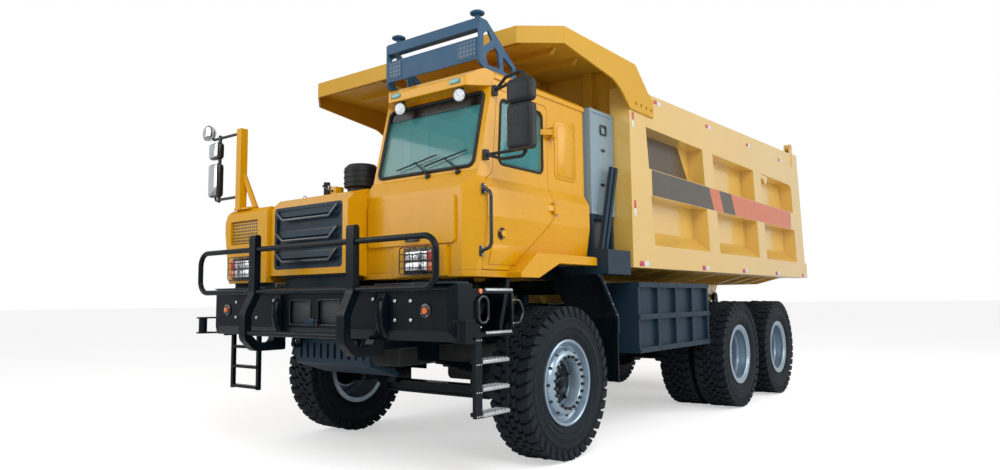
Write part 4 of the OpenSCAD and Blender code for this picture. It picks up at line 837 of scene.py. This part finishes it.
ready(block((-546, -1116, 2652), (-454, -1004, 2768), 6), "valve box", CAB_PAINT, "chassis")
ready(tube([(-640, -1080, 2790), (-640, -1150, 2790), (-500, -1150, 2720), (-500, -1110, 2720)], 18, 30),
      "valve pipe", GLOSS_BLACK, "chassis")
for x, y in ((-860, -1200), (-100, -1480)):
    eye = [(x, y - 22, 2690), (x, y + 22, 2690), (x, y + 22, 2650), (x, y - 22, 2650)]
    ready(tube(eye, 10, 20, True, 3), "lifting eye", BARE_STEEL, "chassis")
ready(block((838, -1392, 2086), (1006, -1368, 2108), 5), "hatch latch", GLOSS_BLACK, "chassis")


# Cab: window seals, wipers, lamps, handles, door knob and pressed panels

def screen_y(z):
    """How far forward the leaning windscreen stands at a height."""
    return -1220 + 211 * (z - 2700) / 860


def cab_side(z):
    """How far out the lower cab side stands at a height."""
    return 1560 + 80 * (z - 1755) / 535


frame_line = [(306, 2741), (1504, 2741), (1504, 3444), (306, 3444)]
ready(tube([(x, screen_y(z) - 4, z) for x, z in frame_line], 34, 60, True), "windscreen seal",
      BLACK_PLASTIC, "chassis")
band = [(320, 3330), (1490, 3330), (1490, 3432), (320, 3432)]
ready(plate([(x, screen_y(z) + 9, z) for x, z in band], 4, (0, -1, 0.2), 0), "screen band", GLOSS_BLACK,
      "chassis")
for x in (985, 1350):
    foot = (x, screen_y(2700) - 16, 2690)
    wrist = (x - 190, screen_y(2850) - 34, 2850)
    arm = tube([foot, (x - 30, screen_y(2740) - 42, 2740), wrist], 15, 30)
    blade = tube([(x - 430, screen_y(2800) - 14, 2800), (x + 60, screen_y(2896) - 14, 2896)], 14, 0)
    link = tube([wrist, (x - 190, screen_y(2848) - 10, 2848)], 14, 0)
    hub = spun([(0.5, 0), (24, 0), (24, 30), (14, 40), (0.5, 40)], (x, screen_y(2690), 2690),
               (0, -1, 0.2), 24)
    ready(join([arm, blade, link, hub]), "wiper", BLACK_PLASTIC, "chassis")
door_line = [(-941, 2784), (-229, 2784), (-229, 3391), (-897, 3391)]
ready(tube([(1581, y, z) for y, z in door_line], 26, 60, True), "door window seal", BLACK_PLASTIC,
      "left_door")
right_line = [(-856, 2784), (356, 2784), (356, 3391), (-856, 3391)]
ready(tube([(239, y, z) for y, z in right_line], 26, 60, True), "right window seal", BLACK_PLASTIC,
      "chassis")
rear_line = [(474, 2784), (1386, 2784), (1386, 3391), (474, 3391)]
ready(tube([(x, 571, z) for x, z in rear_line], 26, 60, True), "rear window seal", BLACK_PLASTIC,
      "chassis")
for x in (520, 1281):
    ready(block((x - 62, -1202, 3524), (x + 62, -1186, 3570), 8, 3), "marker lamp", TEAL, "chassis")
for x in (556, 1313):
    ready(spun([(0.5, -40), (40, -40), (66, -10), (66, 6), (60, 10), (0.5, 10)], (x, -1165, 3416),
               (0.25, -1, -0.15)), "work lamp body", GLOSS_BLACK, "chassis")
    ready(spun([(0.5, 9), (57, 9), (50, 18), (0.5, 22)], (x, -1165, 3416), (0.25, -1, -0.15)),
          "work lamp glass", LAMP, "chassis")
    ready(rod((x, -1150, 3430), (x, -1120, 3500), 26, 16), "work lamp stem", GLOSS_BLACK, "chassis")
grip = [(1628, -1212, 2520), (1706, -1216, 2480), (1706, -1218, 2010), (1598, -1224, 1976)]
ready(tube(grip, 32, 60), "grab handle", GLOSS_BLACK, "chassis")
for x, z in ((1612, 2520), (1580, 1976)):
    ready(block((x, -1240, z - 46), (x + 26, -1196, z + 46), 8), "handle foot", GLOSS_BLACK, "chassis")
    bolts("handle bolts", [(x + 26, -1218, z - 32), (x + 26, -1218, z + 32)], (1, 0, 0), 16, 6)
ready(spun([(0.5, 0), (54, 0), (54, 10), (44, 20), (32, 14), (28, 26), (0.5, 30)],
           (cab_side(2143) - 2, -957, 2143), (1, 0, -0.15)), "door knob", GLOSS_BLACK, "left_door")
press = [(-1105, 1868), (-700, 1868), (-600, 2046), (-1072, 2046)]
ready(plate([(cab_side(z) - 3, y, z) for y, z in press], 12, (1, 0, -0.15), 7), "door pressing",
      CAB_PAINT, "left_door")
for inset, x, thick in ((0, 1578, 11), (34, 1587, 9)):
    y0, y1, z0, z1 = -5 + inset, 392 - inset, 2765 + inset, 3400 - inset
    quarter = [(y0, z0 + 30), (y0 + 30, z0), (y1 - 30, z0), (y1, z0 + 30), (y1, z1 - 30), (y1 - 30, z1),
               (y0 + 30, z1 - 40), (y0, z1 - 75)]
    ready(plate([(x, y, z) for y, z in quarter], thick, (1, 0, 0), 7), "quarter pressing", CAB_PAINT,
          "chassis")
for z in (2440, 3200):
    x = 1640 if z < 2640 else 1580
    places = [(x, y, z + dz) for y in (-90, -60) for dz in (-66, 66)]
    bolts("hinge bolts", places, (1, 0, 0), 16, 8)


# Equipment cabinet: latches, handle, bolts and the mesh of the cage below it

for y, z in ((906, 3187), (886, 2799)):
    diamond = [(1627, y - 58, z), (1627, y, z - 22), (1627, y + 58, z), (1627, y, z + 22)]
    ready(plate(diamond, 12, (1, 0, 0), 4), "cabinet latch", GLOSS_BLACK, "chassis")
pull = [(1640, 850, 3366), (1640, 972, 3366), (1640, 972, 3462), (1640, 850, 3462)]
ready(tube(pull, 18, 14, True, 3), "cabinet handle", GLOSS_BLACK, "chassis")
edges = [(1628, y, z) for y in (672, 1058) for z in range(2540, 3560, 200)]
bolts("cabinet bolts", edges, (1, 0, 0), 14, 6)
ready(block((1579, 672, 2090), (1585, 1056, 2408), 1), "cage mesh", MESH_GREY, "chassis")


# Mirror heads and arms

for z0, z1 in ((3219, 3425), (2817, 3213)):
    shell = block((1888, -1236, z0), (2150, -1152, z1), 42, 5)
    ready(shell, "left mirror shell", BLACK_PLASTIC, "chassis")
    ready(block((1912, -1154, z0 + 24), (2126, -1148, z1 - 24), 2), "left mirror glass", MIRROR_GLASS,
          "chassis")
post_line = [(1612, -1012, 3440), (1760, -1060, 3520), (2010, -1140, 3520), (2020, -1140, 3400)]
ready(tube(post_line, 30, 70), "left mirror arm", BLACK_PLASTIC, "chassis")
ready(tube([(1612, -1150, 2830), (1780, -1150, 2770), (2012, -1140, 2770), (2020, -1140, 2850)], 30, 60),
      "left mirror lower arm", BLACK_PLASTIC, "chassis")
HEAD_X = -1905
MIRROR_Y = -1650
for z0, z1 in ((3160, 3350), (2730, 3110)):
    ready(block((HEAD_X - 99, MIRROR_Y - 12, z0), (HEAD_X + 99, MIRROR_Y + 70, z1), 34, 5),
          "right mirror shell", GLOSS_BLACK, "chassis")
    ready(block((HEAD_X - 82, MIRROR_Y - 16, z0 + 18), (HEAD_X + 82, MIRROR_Y - 10, z1 - 18), 3),
          "right mirror glass", MIRROR_GLASS, "chassis")
ready(spun([(0.5, -30), (40, -24), (74, 0), (88, 34), (90, 52), (84, 56), (60, 66), (0.5, 72)],
           (-2060, -1594, 3482), (0.2, -1, 0)), "round mirror", MIRROR_GLASS, "chassis")
ready(tube([(-1857, -1608, 2700), (-1930, -1608, 2690), (-1935, -1600, 2760)], 24, 30),
      "right mirror hook", GLOSS_BLACK, "chassis")


# Steps: bright treads, side loops and bolts

for z, y0, y1 in ((1644, -1320, -940), (1284, -1320, -960)):
    teeth = [block((1704, y0, z - 14), (1724, y1, z + 2), 2)]
    for k in range(14):
        y = y0 + 12 + k * (y1 - y0 - 24) / 13
        teeth.append(block((1700, y - 6, z), (1724, y + 6, z + 9), 2, 1))
    ready(join(teeth), "step tread", TREAD_METAL, "chassis")
for z in (1038, 812, 604):
    bars = [block((1700, -1366, z - 10), (1721, -1000, z + 18), 2)]
    for k in range(7):
        y = -1350 + k * 48
        slat = [(1600, y), (1716, y + 22), (1716, y + 38), (1600, y + 16)]
        bars.append(plate([(a, b, z + 15) for a, b in slat], 12, (0, 0, 1), 2))
    ready(join(bars), "rung tread", TREAD_METAL, "chassis")
oval = [(1736, -1440, 1366), (1736, -1310, 1366), (1736, -1310, 1584), (1736, -1440, 1584)]
ready(tube(oval, 24, 62, True), "step grab loop", GLOSS_BLACK, "chassis")
d_loop = [(1716, -935, 1350), (1736, -860, 1350), (1736, -800, 1450), (1736, -860, 1552),
          (1716, -935, 1552)]
ready(tube(d_loop, 22, 60), "step rear loop", GLOSS_BLACK, "chassis")
ready(block((1690, -955, 1320), (1718, -918, 1612), 4), "loop post", DARK_PAINT, "chassis")
front_feet = [(1722, -1395, z) for z in (1330, 1380, 1570, 1612)]
rear_feet = [(1719, -936, z) for z in (1350, 1552)]
bolts("loop bolts", front_feet + rear_feet, (1, 0, 0), 18, 8)
ready(block((1716, -1416, 1612), (1732, -1376, 1648), 6), "side lamp", AMBER, "chassis")
rung_ends = [(1717, y, z) for z in (1222, 1024, 798, 606) for y in (-1444, -1416, -1388)]
bolts("stringer bolts", rung_ends, (1, 0, 0), 16, 7)


# Mudguard edges and tank guard bolts

# The edge trim is real, but its blue-grey, lighter than the dark mudguard, is a painted highlight for the
# light the rolled edge catches
for s in (-1, 1):
    trim = [(575, 1812), (648, 1812), (1012, 1352), (1012, 1180), (986, 1180), (986, 1342), (636, 1786),
            (575, 1786)]
    ready(plate([(s * 1717, y, z) for y, z in trim], 9, (s, 0, 0), 3), "lit mudguard edge", GREY_PAINT,
          "chassis")
    bolts("mudguard bolts", [(s * 1725, 700 + k * 90, 1720 - k * 114) for k in range(4)], (s, 0, 0), 16, 6)
for s in (-1, 1):
    grid = [(s * 1800, 1380 + i * 500, z) for i in range(5) for z in (970, 1340, 1706)]
    bolts("tank guard bolts", grid, (s, 0, 0), 20, 8, GLOSS_BLACK, "chassis")


# Bed: stripes, brown bay panel, reflective tapes, canopy gussets and hanging lugs

RAIL = (2752, 3052)


def stripe(y0, y1, name, material, lean0=160, lean1=160):
    """A band of film on the middle rail; the ends lean back by so much at the bottom."""
    outline = [(BED_SIDE, y0 + lean0, RAIL[0]), (BED_SIDE, y1 + lean1, RAIL[0]), (BED_SIDE, y1, RAIL[1]),
               (BED_SIDE, y0, RAIL[1])]
    both(plate(outline, 2, (1, 0, 0), 0), name, material, "bed")


stripe(1690, 3469, "dark stripe", STRIPE_DARK, 0)
stripe(3469, 3842, "red stripe", STRIPE_RED)
stripe(3842, 4321, "dark bar", STRIPE_DARK)
stripe(4321, 7330, "long red stripe", STRIPE_RED, 160, 0)
bay = [(1656, 3066), (3290, 3066), (2930, 3540), (1600, 3540)]
both(plate([(1630, y, z) for y, z in bay], 3, (1, 0, 0), 0), "brown panel", BROWN, "bed")
for k, y in enumerate((1919, 3555, 5222, 6880)):
    z = 3905 + 10 * k
    for a, b, colour in ((-80, 20, TAPE_RED), (20, 130, TAPE_WHITE)):
        tape = block((BED_SIDE - 20, y + a, z - 26), (BED_SIDE - 17, y + b, z + 26), 1)
        both(tape, "top tape", colour, "bed")
for y in (1400, 3237, 4791, 6400, 7988):
    for a, b, colour in ((-90, 30, TAPE_RED), (30, 150, TAPE_WHITE)):
        tape = block((BED_SIDE, y + a, 1912), (BED_SIDE + 3, y + b, 1972), 1)
        both(tape, "sill tape", colour, "bed")
for z, colour in ((2470, TAPE_WHITE), (2560, TAPE_RED), (3480, TAPE_WHITE), (3570, TAPE_RED)):
    tape = block((BED_SIDE, 1215, z), (BED_SIDE + 3, 1262, z + 86), 1)
    both(tape, "post tape", colour, "bed")
both(block((1570, 1194, 3860), (1838, 1240, 4188), 5), "canopy gusset", CANOPY_PAINT, "bed")
hook = [(5660, 3545), (6150, 3545), (6100, 3470), (6040, 3400), (5980, 3400), (5920, 3470), (5720, 3480)]
both(plate([(1770, y, z) for y, z in hook], 60, (1, 0, 0), 6), "hanging lug", BED_PAINT_AND_SHEEN, "bed")


# Floor, sky, lights and camera

FLOOR_SIZE = 400
FLOOR_LIFT = 0.5
SKY_LOW = 0.46
SKY_HIGH = 1.0
SKY_IN_GLOSS = 0.45
LAMPS = [("key", (9, -9, 9), (0, -2, 2), 6, 700),
         ("side", (11, 4, 6), (1, 1, 2), 7, 430),
         ("front", (-6, -12, 6), (-0.5, -4, 2), 6, 300)]
CAMERA_PLACE = (5495, -6083, 1560)
CAMERA_TURN = (37.58, 5.27, -0.60)
LENS = 26.01
SENSOR = 36
SHIFT = (0.0045, -0.0025)
FAR_CLIP = 300


def pale_floor():
    """The floor, lifted towards white only where the camera sees it."""
    fresh()
    bpy.ops.mesh.primitive_plane_add(size=FLOOR_SIZE, location=(0, 0, 0))
    floor = bpy.context.active_object
    floor.name = "pale floor"
    material, nodes, links, shader = finish_nodes("pale floor")
    grain = speckle(nodes, links, 0.6)
    tone = ramp(nodes, links, grain.outputs["Fac"], grey(0.86), grey(0.90))
    links.new(tone.outputs["Color"], shader.inputs["Base Color"])
    shader.inputs["Roughness"].default_value = 0.9
    shader.inputs["Specular IOR Level"].default_value = 0.1
    shader.inputs["Emission Color"].default_value = (1, 1, 1, 1)
    path = nodes.new("ShaderNodeLightPath")
    lift = nodes.new("ShaderNodeMath")
    lift.operation = "MULTIPLY"
    lift.inputs[1].default_value = FLOOR_LIFT
    links.new(path.outputs["Is Camera Ray"], lift.inputs[0])
    links.new(lift.outputs[0], shader.inputs["Emission Strength"])
    floor.data.materials.append(material)


def white_sky(scene):
    """White where it is seen or seen through, dimmer in reflections, dimmest as light."""
    world = bpy.data.worlds.new("studio")
    scene.world = world
    world.use_nodes = True
    nodes = world.node_tree.nodes
    links = world.node_tree.links
    back = nodes["Background"]
    back.inputs["Color"].default_value = (1, 1, 1, 1)
    path = nodes.new("ShaderNodeLightPath")
    seen = nodes.new("ShaderNodeMath")
    seen.operation = "MAXIMUM"
    links.new(path.outputs["Is Camera Ray"], seen.inputs[0])
    links.new(path.outputs["Is Transmission Ray"], seen.inputs[1])
    shine = nodes.new("ShaderNodeMath")
    shine.operation = "MULTIPLY_ADD"
    shine.inputs[1].default_value = SKY_IN_GLOSS
    links.new(path.outputs["Is Glossy Ray"], shine.inputs[0])
    links.new(seen.outputs[0], shine.inputs[2])
    level = nodes.new("ShaderNodeMapRange")
    level.inputs["To Min"].default_value = SKY_LOW
    level.inputs["To Max"].default_value = SKY_HIGH
    links.new(shine.outputs[0], level.inputs["Value"])
    links.new(level.outputs["Result"], back.inputs["Strength"])


def soft_lamps(scene):
    """Square lamps: name, place, aim, size and power, in metres and watts."""
    for name, place, aim, size, power in LAMPS:
        lamp = bpy.data.lights.new(name, "AREA")
        lamp.size = size
        lamp.energy = power
        o = bpy.data.objects.new(name, lamp)
        scene.collection.objects.link(o)
        o.location = place
        o.rotation_euler = (Vector(aim) - Vector(place)).to_track_quat("-Z", "Y").to_euler()


def photo_camera(scene):
    """The photo's camera: its place, its yaw, pitch and roll in degrees, and its lens."""
    camera = bpy.data.objects.new("camera", bpy.data.cameras.new("camera"))
    scene.collection.objects.link(camera)
    scene.camera = camera
    camera.data.sensor_width = SENSOR
    camera.data.lens = LENS
    camera.data.shift_x, camera.data.shift_y = SHIFT
    camera.data.clip_end = FAR_CLIP
    yaw, pitch, roll = (math.radians(angle) for angle in CAMERA_TURN)
    ahead = Vector((-math.sin(yaw) * math.cos(pitch), math.cos(yaw) * math.cos(pitch), math.sin(pitch)))
    right = Vector((math.cos(yaw), math.sin(yaw), 0))
    up = right.cross(ahead)
    x_axis = math.cos(roll) * right + math.sin(roll) * up
    y_axis = -math.sin(roll) * right + math.cos(roll) * up
    turn = Matrix((x_axis, y_axis, -ahead)).transposed()
    camera.matrix_world = Matrix.Translation(at(*CAMERA_PLACE)) @ turn.to_4x4()


stage = bpy.context.scene
stage.view_settings.view_transform = "Standard"
pale_floor()
white_sky(stage)
soft_lamps(stage)
photo_camera(stage)
